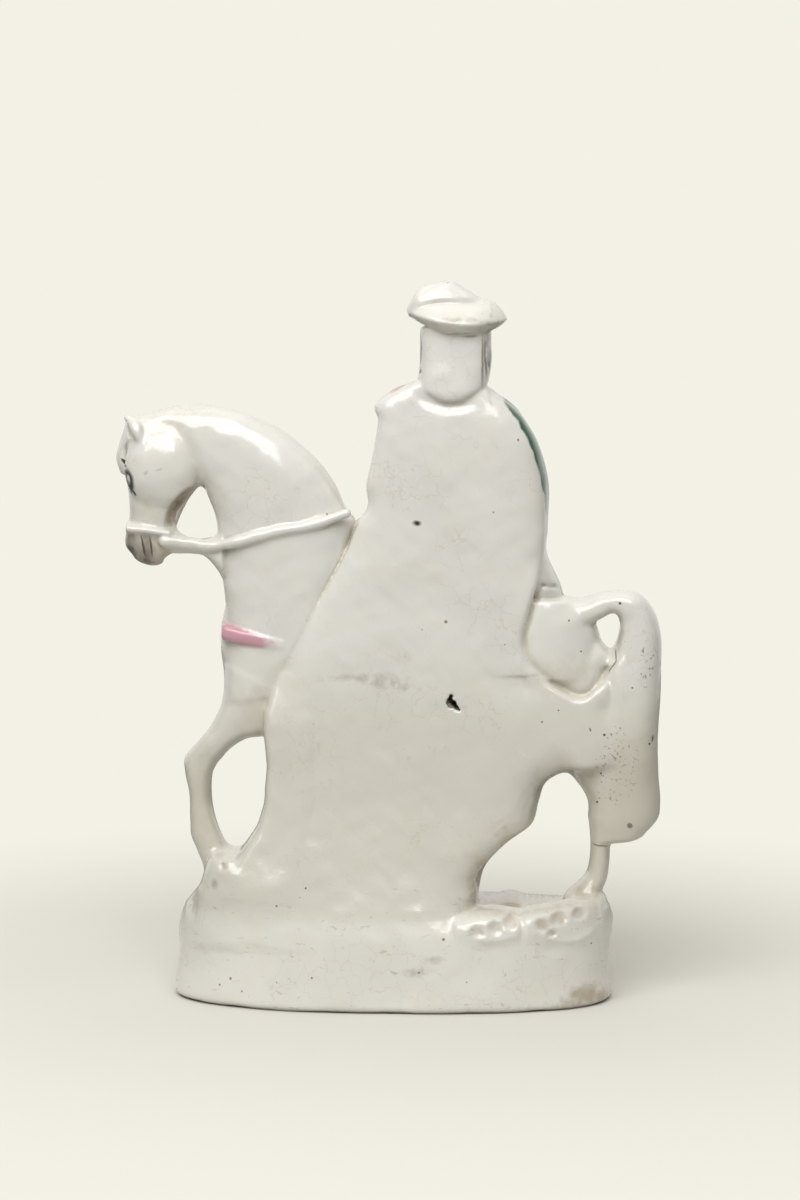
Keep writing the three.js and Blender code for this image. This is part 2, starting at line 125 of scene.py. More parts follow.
def colour(name):
    return linear(getattr(bpy.context.scene.flatback_colours, name))


def linear(code):
    """An sRGB hex colour as the linear red, green, blue and alpha that Blender's sockets take."""
    parts = [int(code[i:i + 2], 16) / 255 for i in (1, 3, 5)]
    return [p / 12.92 if p <= 0.04045 else ((p + 0.055) / 1.055) ** 2.4 for p in parts] + [1.0]


# Forms as rings of points, in millimetres, as the solid model has them

# Steps from one station to the next
CUTS = 6


def turns(count):
    """Angles at even steps round a circle."""
    return 2 * np.pi * np.arange(count) / count


def through(stations, cuts):
    """Rows on a smooth curve through the stations."""
    rows = np.array(stations, float)
    last = len(rows) - 1
    out = []
    for i in range(last):
        a, b, c, d = (rows[min(max(k, 0), last)] for k in (i - 1, i, i + 1, i + 2))
        for t in np.arange(cuts) / cuts:
            out.append((2 * b + (c - a) * t + (2 * a - 5 * b + 4 * c - d) * t * t
                        + (3 * b - a - 3 * c + d) * t ** 3) / 2)
    out.append(rows[last])
    return np.array(out)


def power(value, exponent):
    return np.sign(value) * np.abs(value) ** exponent


def ring(row, sides, square, scale=1.0, shift=(0.0, 0.0)):
    """One cut, a rounded shape whose squareness is 2 for an ellipse and more for a slab."""
    ax, az, bx, bz, front, back = row
    angle = turns(sides)
    across = scale * power(np.cos(angle), 2 / square)
    deep = scale * power(np.sin(angle), 2 / square)
    return np.stack([
        (ax + bx) / 2 + shift[0] + across * (ax - bx) / 2,
        (front + back) / 2 + deep * (back - front) / 2,
        (az + bz) / 2 + shift[1] + across * (az - bz) / 2,
    ], axis=1)


def loft(rings):
    """A closed skin over rings of points, with a fan over each end."""
    rings = np.array(rings)
    count, sides, _ = rings.shape
    points = rings.reshape(-1, 3)
    index = np.arange(count * sides).reshape(count, sides)
    turned = np.roll(index, -1, axis=1)
    quads = np.stack([index[:-1], turned[:-1], turned[1:], index[1:]], axis=-1).reshape(-1, 4)
    ends = np.array([rings[0].mean(0), rings[-1].mean(0)])
    fans = [np.stack([np.full(sides, len(points) + n), *pair], axis=-1)
            for n, pair in enumerate([(turned[0], index[0]), (index[-1], turned[-1])])]
    return np.concatenate([points, ends]), quads, np.concatenate(fans)


def slip(stations, square=2.4, sides=64, domes=(2, 2)):
    """A closed form through a row of cuts, with a rounded end of the given length at each end."""
    rows = through(stations, CUTS)
    middles = (rows[:, [0, 1]] + rows[:, [2, 3]]) / 2
    rings = [ring(row, sides, square) for row in rows]

    def dome(end, inner, length):
        along = middles[end] - middles[inner]
        along *= length / np.hypot(*along)
        return [ring(rows[end], sides, square, math.cos(part * math.pi / 2),
                     along * math.sin(part * math.pi / 2))
                for part in (0.2, 0.4, 0.6, 0.8, 1)]

    return loft(dome(0, 1, domes[0])[::-1] + rings + dome(-1, -2, domes[1]))


def ball(x, y, z, rx, ry, rz):
    """An egg of clay: its middle and its half sizes."""
    lifts = np.linspace(-np.pi / 2, np.pi / 2, 24)
    angle = turns(48)
    return loft([np.stack([x + rx * np.cos(lift) * np.cos(angle), y + ry * np.cos(lift) * np.sin(angle),
                           np.full(len(angle), z + rz * np.sin(lift))], axis=1) for lift in lifts])


def bar(points):
    """A round bar through points in space, thick at each point as its fourth number says."""
    rows = through(points, CUTS)
    rings = []
    angle = turns(24)
    ways = np.gradient(rows[:, :3], axis=0)
    ways /= np.linalg.norm(ways, axis=1)[:, None]
    for row, way in zip(rows, ways):
        side = np.cross([0, 1, 0], way)
        if np.linalg.norm(side) < 0.2:
            side = np.cross([1, 0, 0], way)
        side /= np.linalg.norm(side)
        other = np.cross(way, side)
        rings.append(row[:3] + row[3] * (np.outer(np.cos(angle), side) + np.outer(np.sin(angle), other)))
    tips = []
    for row, way, sign in ((rows[0], ways[0], -1), (rows[-1], ways[-1], 1)):
        source = rings[0] if sign < 0 else rings[-1]
        tips.append([row[:3] + (source - row[:3]) * math.cos(a) + sign * way * row[3] * math.sin(a)
                     for a in (0.4, 0.8, 1.2, 1.5)])
    return loft(tips[0][::-1] + rings + tips[1])


# The clay as signed distances on a grid

def distances(form, pitch, reach):
    """Signed distances in a box round the form, and the grid index of the box's lowest corner."""
    points, quads, triangles = form
    grid = vdb.FloatGrid.createLevelSetFromPolygons(
        points.astype(np.float32), triangles=triangles.astype(np.uint32), quads=quads.astype(np.uint32),
        transform=vdb.createLinearTransform(voxelSize=pitch), halfWidth=reach / pitch)
    rim = math.ceil(reach / pitch) + 1
    low = np.floor(points.min(0) / pitch).astype(int) - rim
    high = np.ceil(points.max(0) / pitch).astype(int) + rim
    values = np.empty(high - low, np.float32)
    grid.copyToArray(values, ijk=tuple(int(i) for i in low))
    return values, low


def read_off(values, low, pitch, points, outside):
    """Values of a grid between its points."""
    place = points / pitch - low
    cell = np.floor(place).astype(int)
    inside = np.all((cell >= 0) & (cell < np.array(values.shape) - 1), axis=1)
    part = (place - cell)[inside]
    cell = cell[inside]
    total = np.zeros(len(cell), np.float32)
    for corner in np.ndindex(2, 2, 2):
        weight = np.prod(np.where(corner, part, 1 - part), axis=1)
        total += weight * values[tuple((cell + corner).T)]
    out = np.full(len(points), outside, np.float32)
    out[inside] = total
    return out


def fillet(one, other, width):
    """What a fillet of this width adds where two distances come close to each other."""
    near = np.clip(width - np.abs(one - other), 0, None)
    return near * near / (4 * width)


class Clay:
    """The figure's surface, gathered form by form. The surface is where the distance is 0."""

    FAR = 14.0
    # How far from its skin a form's distances are kept, and how wide the fillet is where a room cuts it off
    KEPT = 2.2
    ROOM_FILLET = 5.0

    def __init__(self, low, high, pitch):
        self.pitch = pitch
        self.low = np.floor(np.array(low) / pitch).astype(int)
        shape = np.ceil(np.array(high) / pitch).astype(int) - self.low
        self.values = np.full(shape, self.FAR, np.float32)
        self.kinds = {}
        self.x, self.y, self.z = ((self.low[k] + np.arange(shape[k])) * pitch for k in range(3))

    def window(self, low, shape):
        """The part of the clay's grid that a smaller grid covers, and the part of that grid."""
        start = np.maximum(low - self.low, 0)
        stop = np.minimum(low + shape - self.low, self.values.shape)
        own = tuple(slice(a, b) for a, b in zip(start, stop))
        theirs = tuple(slice(a + o, b + o) for a, b, o in zip(start, stop, self.low - low))
        return own, theirs

    def add(self, form, soft, kind=None, room=None):
        """Joins a form on, with a fillet about as wide as soft says, one number or a function of height.
        Where room is given, the form keeps inside that second form."""
        widest = soft if np.isscalar(soft) else float(np.max(soft(self.z)))
        reach = max(widest, self.ROOM_FILLET + 0.5 if room else self.KEPT) + 1.5 * self.pitch
        values, low = distances(form, self.pitch, reach)
        if room:
            limit = Clay(low * self.pitch, (low + values.shape) * self.pitch, self.pitch)
            limit.values = limit.values[:values.shape[0], :values.shape[1], :values.shape[2]]
            limit.add(room, reach)
            values = np.maximum(limit.values, values) + fillet(limit.values, values, self.ROOM_FILLET)
        own, theirs = self.window(low, values.shape)
        old = self.values[own]
        new = values[theirs]
        width = soft if np.isscalar(soft) else soft(self.z[own[2]]).astype(np.float32)
        self.values[own] = np.minimum(old, new) - fillet(old, new, width)
        if kind:
            self.kinds.setdefault(kind, []).append((values.astype(np.float16), low))

    def carve(self, form, soft):
        """Cuts a form out, with a rim as soft as given."""
        values, low = distances(form, self.pitch, soft + self.KEPT)
        own, theirs = self.window(low, values.shape)
        old = self.values[own]
        new = -values[theirs]
        self.values[own] = np.maximum(old, new) + fillet(old, new, soft)

    def press(self, back, front):
        """Raises the surface by two height maps over X and Z, one on the back and one on the front. They pass
        into each other between 1 mm in front of the middle and 3 mm behind it."""
        share = np.clip((self.y + 1) / 4, 0, 1)
        share = share * share * (3 - 2 * share)
        for j, part in enumerate(share):
            self.values[:, j, :] -= back * part + front * (1 - part)

    def kind_distance(self, kind, points):
        """How far each point lies outside all forms of one kind."""
        return np.min([read_off(values, low, self.pitch, points, self.KEPT)
                       for values, low in self.kinds[kind]], axis=0)


def softened(values, reach):
    """The grid's values after two running means over each axis, each this many cells each way."""
    for _ in range(2):
        for axis in range(3):
            wide = 2 * reach + 1
            pad = [(0, 0)] * 3
            pad[axis] = (reach + 1, reach)
            total = np.cumsum(np.pad(values, pad, mode="edge"), axis=axis, dtype=np.float32)
            upper = [slice(None)] * 3
            lower = [slice(None)] * 3
            upper[axis] = slice(wide, None)
            lower[axis] = slice(None, -wide)
            values = (total[tuple(upper)] - total[tuple(lower)]) / wide
    return values


# How far back the horse and the slab reach where they are flat
BODY_BACK = 12.5
SLAB_BACK = 15.5

# Station tables, as in the solid model: [ax, az, bx, bz, front, back]

SLAB = [
    [-11, 263, -41, 261, -8, 12.5], [-1.5, 259, -46.5, 257, -10, 13.4], [5.4, 253.2, -51.6, 253.2, -12, 14],
    [3.8, 246, -57.6, 246, -12, 15], [6, 234, -63, 234, -12, SLAB_BACK], [9, 220, -66, 220, -12, SLAB_BACK],
    [8.5, 211, -66.8, 211, -12, SLAB_BACK], [14.5, 201, -66.6, 201, -12, SLAB_BACK],
    [19.5, 188, -65.6, 188, -12, SLAB_BACK], [26.5, 176, -63, 177, -12, SLAB_BACK],
    [33.5, 162, -59.2, 162.6, -12, 15.8], [36.8, 155.6, -58.4, 155.4, -12, 16],
    [41, 147.6, -60.6, 147.8, -12, 16.2], [44.4, 140.9, -67, 141.6, -12, 16.3],
    [46.9, 135.4, -69, 136.8, -12, 16.5], [48.4, 132, -76, 133.4, -11, 16.7],
    [50.6, 127, -92, 128.4, -10, 17.1], [52, 121, -109, 121, -9, 17.7], [51.6, 112, -109, 112, -8, 18.7],
    [50.8, 104, -100, 104, -8, 19.7], [50.6, 98, -79, 98.4, -8, 20.5], [50.9, 92, -68.2, 93, -8, 21.4],
    [51.6, 85, -65, 85, -8, 22.7], [55, 75, -62, 74.6, -8, 24.8], [60, 66.5, -51.8, 66.7, -9, 26.8],
    [66, 57, -42.2, 57, -11, 29.2], [74, 48, -39.2, 48, -14, 31.8], [80, 40, -38.4, 40, -18, 34.4],
    [80, 34, -38.4, 34, -18, 35.4], [80, 27, -38.4, 27, -18, 34.2],
]

NECK = [
    [38, 133, 70, 127.6, -20, 11.4], [26, 150, 69.3, 142, -22, BODY_BACK],
    [19, 176, 69.2, 164, -19, BODY_BACK], [15.8, 192, 70.2, 178, -16, BODY_BACK],
    [14, 203.5, 72.2, 194, -13, BODY_BACK], [18.2, 209.7, 73, 205, -13, BODY_BACK],
    [28.2, 226.6, 75.6, 212.6, -13, BODY_BACK], [38, 236.4, 78, 217, -13, 12.3],
    [50, 244.6, 80.5, 219.6, -13, 12], [66.8, 251, 87, 222, -12.5, 11.5], [79.5, 252.8, 93, 223, -12, 11],
    [94.4, 251.4, 99, 227, -11.5, 10.5], [103, 247.6, 103, 231, -10, 9],
]

SKULL = [
    [110.5, 246.5, 88, 240, -12, 9], [111.8, 238, 82, 229, -13, 11], [111.4, 228.5, 80.5, 219.5, -13, 11.5],
    [110.8, 220.5, 84.8, 212.4, -12.5, 10.5], [109.9, 212, 89.2, 204, -11, 9.3],
    [109.8, 204.5, 91.2, 197.5, -9.5, 8.6], [111.2, 198, 92, 192.6, -9.5, 8.8],
    [111.6, 193.4, 93.4, 189.2, -8.8, 8.4], [108.6, 189, 95.4, 187, -7.6, 7.4],
]

BARREL = [
    [66.5, 166, 67, 143, -15, 3], [61, 172, 60, 130, -23, 5], [50, 178, 50, 117, -26, 8],
    [30, 182, 30, 112, -27, BODY_BACK], [2, 181, 2, 109, -27, BODY_BACK],
    [-30, 181, -30, 110, -27, BODY_BACK], [-58, 180, -58, 108, -27, BODY_BACK], [-74, 170, -78, 108, -26, 12],
    [-83, 155, -94, 113, -21, 11],
]

HAUNCH = [
    [-58, 158, -84, 156, -24, 10], [-61, 140, -99, 135, -25, 12], [-66, 118, -104, 114, -22, 13],
    [-75, 100, -104, 97, -18, 12], [-84, 88, -105, 86, -14, 10],
]

RAISED_FORE = [
    [68.6, 142, 42, 130, -20, 11], [69.8, 129.5, 49, 113.5, -17, 11], [74.6, 118, 60.6, 110.4, -13, 10.5],
    [80.4, 110.4, 68.4, 105.2, -10, 10], [86.8, 102.6, 74, 98.6, -9.4, 9], [86.6, 96, 75.8, 92.6, -8.6, 9],
    [84.8, 85, 75.6, 83, -7.6, 8], [84.5, 71, 73, 72.2, -7.6, 8], [82.2, 63, 69, 63.6, -8, 8.6],
    [79, 54.5, 64, 58, -9, 10],
]

STANDING_FORE = [
    [56, 132, 31, 130, -25, -6], [52, 116, 34, 114, -25, -5], [49.6, 98, 36.5, 97, -24, -4],
    [49.4, 90, 36.5, 89, -24.5, -4], [48.4, 78, 39, 77.5, -22, -4], [49.5, 60, 40, 59, -22, -5],
    [53.5, 52, 40, 50, -25, -6], [56, 40, 38, 39, -28, -7],
]

FAR_HIND = [
    [-48, 124, -82, 120, -26, -6], [-50, 106, -73, 99, -25, -5], [-50.5, 92, -63.4, 89, -24, -4],
    [-48.5, 82, -62.4, 77.6, -22, -3], [-40, 70, -50, 66, -19, -2], [-28, 58.6, -36, 55, -19, -2],
    [-22, 50.5, -32, 48, -22, -3], [-18, 40, -31, 39, -26, -4],
]

NEAR_HIND = [
    [-95.4, 80, -86, 79, -9, 9], [-94.4, 66, -86.2, 67, -8, 8], [-94, 57, -85.6, 59, -7.5, 7.5],
    [-93, 51, -84.3, 54, -8, 8], [-91.4, 46.6, -81, 49.6, -9, 9.5], [-93.4, 42.6, -75.5, 44, -11, 12],
    [-93.5, 36, -74, 36, -12, 14],
]

TAIL = [
    [-75, 171.4, -80, 158, -11, 9], [-82.5, 171.6, -86, 161, -11, 9.5], [-90, 174, -90.4, 163.6, -10, 9.5],
    [-98.4, 175.4, -94.4, 165.6, -10, 9.5], [-106.6, 173, -97, 164.4, -10.5, 10],
    [-112.6, 165, -97.8, 159, -11, 10.5], [-115.4, 154, -95.4, 151.6, -12, 12],
    [-115.6, 145, -90.5, 143, -13, 13.6], [-115.2, 132, -88, 131, -14, 15.6],
    [-114.2, 118, -86, 117, -14.5, 16.6], [-114.2, 105, -85, 104, -14, 16.6], [-114.8, 95, -84, 92, -13, 15],
    [-115.5, 86, -85.4, 83, -12, 13.5], [-114.6, 78, -86.2, 76, -11, 12.5],
    [-109.5, 71.4, -87.4, 69.2, -9, 11],
]

HAIR = [
    [-13.6, 285.5, -43, 284.5, -12, 13], [-13.6, 272, -43.4, 272, -13, 14.4], [-13, 264, -42, 263, -12, 15.4],
    [-14, 259, -39.6, 259, -9, 15.9], [-19, 256, -34.6, 256, -6, 15.8],
]

PLUME = [
    [-9.2, 290, -9.8, 296.5, -9, 8], [-12.5, 289, -13, 301.6, -12, 11], [-19, 289, -19.4, 304, -13, 12],
    [-26, 289, -26.4, 304.8, -13, 12], [-33, 289, -34.2, 301, -12, 10.5], [-40, 289, -41.6, 296, -10, 8],
]

CHEST = [
    [-12, 258, -44, 258, -12, 6], [2, 251, -54, 250, -19, 8], [2, 240, -55, 238, -23, 8],
    [-4, 226, -52, 224, -24, 8], [-9, 212, -47, 211, -24, 8], [-6, 200, -50, 199, -25, 8],
    [0, 186, -54, 185, -27, 8],
]

CLOAK = [
    [-38, 252, -53.5, 251, -12, 10], [-44, 240, -62.5, 238, -16, 12], [-47, 222, -67.2, 222, -18, 13],
    [-46, 204, -67.6, 204, -22, 13], [-46, 190, -67, 190, -25, 13], [-44, 175.5, -73, 175, -28, 10],
    [-44, 160, -76, 160, -30, 0],
]

SADDLE_CLOTH = [
    [14, 184, 18, 146, -29.2, -16], [0, 186, 2, 139, -29.8, -16], [-20, 186, -20, 136, -30, -16],
    [-40, 184, -42, 139, -29.8, -16], [-52, 180, -56, 148, -28.6, -16],
]

# Narrow slips with crisp rims, along the slab's edge before the foreleg, below the rump and before the rump
EDGE_AT_FORELEG = [
    [74, 46, 34, 46, -12, 32.2], [66.4, 57, 34, 57, -8, 29.1], [60.4, 66.5, 34, 66.7, -8, 26.8],
    [55.2, 75, 32, 75, -8, 24.8], [51.8, 85, 30, 85, -8, 22.7], [51, 95, 30, 95, -8, 20.9],
    [51, 104, 30, 104, -8, 19.7], [51.8, 112, 30, 112, -8, 18.7], [52, 120, 30, 120, -9, 17.6],
    [51, 128, 31, 128, -9, 15.4], [47, 140, 33, 140, -9, 12],
]

EDGE_BELOW_RUMP = [
    [-60, 144.8, -60, 112, -8, 16.1], [-67.3, 138.8, -67.3, 110, -8, 16.4],
    [-74.3, 134.4, -74.3, 108, -8, 16.7], [-79, 132.2, -79, 106, -8, 16.9], [-83, 131.8, -83, 105, -8, 16.8],
    [-88, 136, -88, 104, -8, 16.3], [-92, 138, -92, 106, -8, 15.2],
]

EDGE_AT_RUMP = [
    [-42, 194, -65, 194, -8, 11], [-41, 184, -64.4, 184, -8, 14], [-40, 175, -63, 175, -8, 15.3],
    [-36, 162, -59.4, 162, -8, 15.7], [-34, 155.5, -58.2, 155.5, -8, 15.9], [-36, 147, -60, 147.6, -8, 16.1],
    [-42, 140, -65, 141.6, -8, 16.3],
]

RUMP = [
    [-50, 172.5, -79, 170, -14, 12.4], [-46, 164, -86.5, 163, -18, 13.6], [-44, 155, -89.6, 154.6, -20, 14.6],
    [-44, 146, -88.5, 146.6, -20, 15.2], [-50, 138, -86, 139.6, -18, 15.2],
]

# The far side of the face, with brow and nose bone
FAR_FACE = [
    [111.6, 244.6, 100, 242, -10, 1], [113.8, 238, 100, 236, -12, 2.4], [116, 230.4, 101, 229.4, -12.5, 3],
    [114.2, 224, 103, 223.4, -11, 3],
]

MOUND = [
    [88, 25, 40, 25, -20, 30], [88, 36, 36, 36, -20, 31], [84, 44, 32, 44, -15, 31.6],
    [80, 50, 32, 50, -12, 30.6], [78, 56, 32, 55.6, -9, 28.9], [76.4, 60.2, 36, 59.4, -8, 27.2],
    [75, 62.2, 40, 61.8, -7, 26],
]

NEAR_LOBE = [[-31, 27, -31, 41.4, 8, 36], [-43, 24, -43, 43.6, 8, 35.2], [-55, 27, -55, 42, 8, 32.8]]

FAR_LOBE = [
    [-60, 27, -60, 42.4, 8, 31.6], [-71, 23.5, -71, 44.4, 6, 28.4], [-83, 24, -83, 45.6, 2, 22.2],
    [-90, 27, -90, 45.4, 0, 15],
]

# Stacked ovals: height, half length, half depth and middle along X. Their squareness is 2 for an ellipse.
BASE_SQUARE = 2.35

BASE = [
    [0, 90.8, 35.4, -2], [1.5, 93, 37.5, -2], [4, 93.6, 38, -2], [14, 92.3, 37.1, -2], [24, 91.9, 36.8, -2.5],
    [31, 92.2, 36.1, -3.4], [35.5, 92, 33.6, -3.8], [39.4, 90, 29, -3.9],
]

# The slab and the mound keep inside this where they reach the ground
SLAB_ROOM = [
    [-10, 91.9, 36.8, -2.5], [42, 91.9, 36.8, -3], [54, 95.6, 39, -3], [80, 143.6, 50, -2],
    [300, 143.6, 50, -2],
]


# The forms

def oval(levels, cuts=5):
    """A closed form through stacked ovals."""
    angle = turns(160)
    across, deep = (power(part, 2 / BASE_SQUARE) for part in (np.cos(angle), np.sin(angle)))
    return loft([np.stack([middle + long * across, half * deep, np.full(len(angle), z)], axis=1)
                 for z, long, half, middle in through(levels, cuts)])


def hat_brim():
    """An oval brim, bent down in front and behind and tilted up towards the horse's head."""
    middle = -28.8
    half_width = 20.6
    half_depth = 18
    bend = 1.7
    tilt = 0.085
    angle = turns(72)
    x = half_width * np.cos(angle)
    levels = through([[284, 0.68, 0.66], [285.4, 0.84, 0.82], [288.4, 1, 1], [290, 1, 1], [294.6, 0.82, 0.8],
                      [297, 0.6, 0.55]], 5)
    return loft([np.stack([middle + wide * x, 1 + half_depth * deep * np.sin(angle),
                           z + bend * np.cos(2 * angle) + tilt * wide * x], axis=1)
                 for z, wide, deep in levels])


def slab_fillet(z):
    """The slab stands proud of neck and rump with a crisp step, and flows into legs and ground below. The
    fillet widens between heights of 138 and 98 mm."""
    low = np.clip((138 - z) / 40, 0, 1)
    return 1.2 + 2.8 * low


def model_ground(add):
    add(oval(BASE), 1, "ground")
    add(slip(MOUND, square=3.2, domes=(2, 1.2)), 3, "ground", room=oval(SLAB_ROOM, 1))
    add(ball(20, -14, 40, 34, 20, 17), 4, "ground")
    add(ball(-4, -14, 38, 27, 18, 8), 4, "ground")


def model_horse(add):
    add(slip(BARREL, square=2.3, domes=(3, 3)), 3, "horse")
    add(slip(NECK, square=2.5), 4, "horse")
    add(ball(56, -9, 150, 15, 15, 22), 6, "horse")
    add(slip(HAUNCH, domes=(4, 4)), 4, "horse")
    add(slip(RUMP, square=2.3, domes=(1.6, 4)), 3, "horse")
    add(slip(RAISED_FORE, domes=(4, 4)), 3, "horse")
    add(slip(STANDING_FORE, domes=(4, 2)), 5, "horse")
    add(slip(FAR_HIND, domes=(4, 2)), 5, "horse")
    add(slip(NEAR_HIND, domes=(3, 2)), 4, "horse")
    add(slip(TAIL, square=2.6, domes=(3, 3.4)), 2.4, "tail")
    add(slip(SKULL, square=2.3, domes=(4, 3.6)), 4, "horse")
    add(slip(FAR_FACE, domes=(2, 1.6)), 1.2, "horse")
    add(ball(95.5, 7.2, 226, 15.5, 7.5, 15.5), 2.5, "horse")
    add(ball(95.5, -8, 226, 15, 7.5, 15), 2.5, "horse")


def model_flat_back(add):
    """The slab, the two lobes of ground at its foot, and the foot of the tail's eye beside it."""
    add(slip(SLAB, square=4.6, sides=120), slab_fillet, "slab", room=oval(SLAB_ROOM, 1))
    add(slip(NEAR_LOBE, domes=(4, 4)), 2.2, "ground")
    add(slip(FAR_LOBE, domes=(4, 2.6)), 2.2, "ground")
    add(slip(EDGE_AT_FORELEG, square=6), 2, "slab", room=oval(SLAB_ROOM, 1))
    add(slip(EDGE_BELOW_RUMP, square=7, sides=96, domes=(2, 4)), 1.3, "slab")
    add(slip(EDGE_AT_RUMP, square=6), 1.2, "slab")
    add(ball(-88.8, 1, 146.2, 5, 8, 6.4), 4, "tail")


def model_bridle(add):
    # Noseband, the piece of clay that joins chin and neck, and a rein on each side
    add(slip([[110, 203.4, 109.8, 198.6, -10.6, 10], [101, 202.6, 100.6, 197.6, -11.4, 11],
              [92, 201.4, 91, 196.2, -10.4, 10.4]], domes=(1, 1)), 1.6, "tack")
    add(slip([[95, 200.4, 95, 189.6, -5, 8], [89, 198.6, 89, 189.7, -5, 7.5], [83, 195.8, 83, 189.9, -5, 7.4],
              [77, 195.8, 77, 188.6, -6, 8], [70, 198.5, 70, 181, -8, 10]]), 2.5)
    add(bar([[94, 8.5, 195.6, 3], [83, 6.5, 194.4, 2.9], [73, 9.5, 194, 2.6], [60, 11.6, 196.6, 2.4],
             [46, 12.1, 200.4, 2.3], [32, 12, 203, 2.2], [17, 11.5, 208, 2]]), 1.1)
    add(bar([[94, -8, 193.6, 3], [83, -6, 192.4, 2.9], [73, -11, 193.5, 2.6], [58, -14.2, 197, 2.4],
             [42, -16, 199, 2.3], [28, -21, 198.4, 2.2], [18, -25, 198, 2]]), 0.9, "tack")


def model_ears(add):
    add(slip([[111.2, 247, 109, 249, 3, 7], [109.6, 244, 104.4, 247, 2, 10.2],
              [107.6, 240.4, 102, 243.4, 2, 12], [105.8, 237, 101, 239.6, 2, 11.4]],
             domes=(0.9, 2)), 1.0, "horse")
    add(slip([[112.2, 245.6, 110.2, 247.6, -8.5, -4], [110, 242, 104.2, 246, -11, -2],
              [106.2, 237, 99, 240, -12, -3]], domes=(0.9, 2)), 1.2, "horse")


def model_rider(add):
    add(slip(CHEST, square=2.5, domes=(3, 4)), 2, "coat")
    add(slip(CLOAK, square=2.8, domes=(2, 5)), 1.2, "cloak")
    for n in range(3):
        lean = 7.5 * n
        add(bar([[-47 - 3.5 * n, -15, 246 - 3 * n, 1.6], [-50 - 5 * n, -18.5, 222, 2.4],
                 [-50 - 6 * n, -23.5, 196, 2.8], [-50 - lean, -29, 174, 2.8],
                 [-51 - 1.3 * lean, -30.4, 160, 2.2]]), 1.8, "cloak")
    add(slip(SADDLE_CLOTH, square=4), 0.8, "cloth")
    add(ball(9, -16, 188, 7, 16, 9), 1.2, "saddle")
    # Leg, boot, foot and the boot's turned-down top
    add(bar([[-36, -21, 190, 12], [-18, -25, 184, 11.4], [-2, -27.5, 174, 9.8], [4, -28.4, 165, 8.4]]),
        1.6, "breeches")
    add(bar([[4, -28.4, 166, 8.4], [2.5, -28.6, 154, 7.6], [-1, -28, 140, 6.2], [-3, -27.8, 128, 5.4]]), 1.2,
        "boot")
    add(bar([[-8, -27.6, 123.6, 4.6], [-2, -28, 123.8, 5], [6, -28.6, 121.4, 4.4], [12, -29, 119.6, 3]]), 1.4,
        "boot")
    add(bar([[3.8, -28.4, 163.6, 9.4], [3, -28.4, 158.4, 9.2]]), 0.8, "boot")
    # Arms, hands and collar
    add(bar([[-5, -8, 247, 7], [-3.4, -12, 235, 7], [-1, -17, 220, 6.3], [4.4, -20, 206, 5.2],
             [12, -22, 198, 4.6]]), 1.4, "coat")
    add(ball(15.5, -22.5, 197, 5, 4.6, 4.4), 0.9, "flesh")
    add(bar([[-48, -9, 246, 7], [-54.5, -14, 233, 7], [-54, -20, 219, 6.8], [-45, -25, 207, 5.4],
             [-38, -28, 201, 4.6]]), 1.4, "coat")
    add(ball(-35, -30, 199, 5.2, 4.2, 4), 0.9, "flesh")
    add(slip([[-14, 256, -43, 256, -13, 4], [-16, 251, -41, 251, -20.5, 4]], domes=(1.5, 2)), 1, "coat")


def model_head(add):
    # Neck, hair, skull, chin and nose, then the plumed hat
    add(slip([[-21, 266, -35, 266, -12, 6], [-19, 250, -37, 250, -13, 6]]), 1.5, "flesh")
    add(slip(HAIR, square=3.3, domes=(1, 2.4)), 0.9, "hair")
    add(ball(-28, -8, 271, 10.5, 11.5, 13.5), 0.9, "flesh")
    add(ball(-28, -9.5, 263.5, 8, 8, 8), 3, "flesh")
    add(slip([[-26.8, 274.5, -29.2, 274.5, -19.6, -14], [-26.2, 271, -29.8, 271, -21.8, -14],
              [-25.4, 268.4, -30.6, 268.4, -22.6, -14]], domes=(1, 1)), 1.4, "flesh")
    add(hat_brim(), 0.8, "hat")
    add(slip(PLUME, domes=(1, 3)), 1.1, "plume")


def model_breast_strap(add):
    add(slip([[69.6, 160.6, 69.6, 153.6, 0, 9.6], [58, 158.2, 58, 151.4, 4, BODY_BACK + 0.6],
              [44, 155, 44, 150, 6, BODY_BACK + 0.5]], square=3, domes=(0.6, 1)), 1.4)
    add(slip([[69, 160.4, 69, 153.2, -17, 0], [58, 160, 58, 152.6, -25, 0], [36, 163, 36, 156, -28.4, 0],
              [16, 167, 16, 160, -30.2, 0]], domes=(0.6, 1)), 0.7, "tack")


def gather(clay):
    """Joins every form onto the clay, larger ones first."""
    for model in (model_ground, model_horse, model_flat_back, model_bridle, model_ears, model_rider,
                  model_head, model_breast_strap):
        model(clay.add)


# Pressed relief, as heights over X and Z

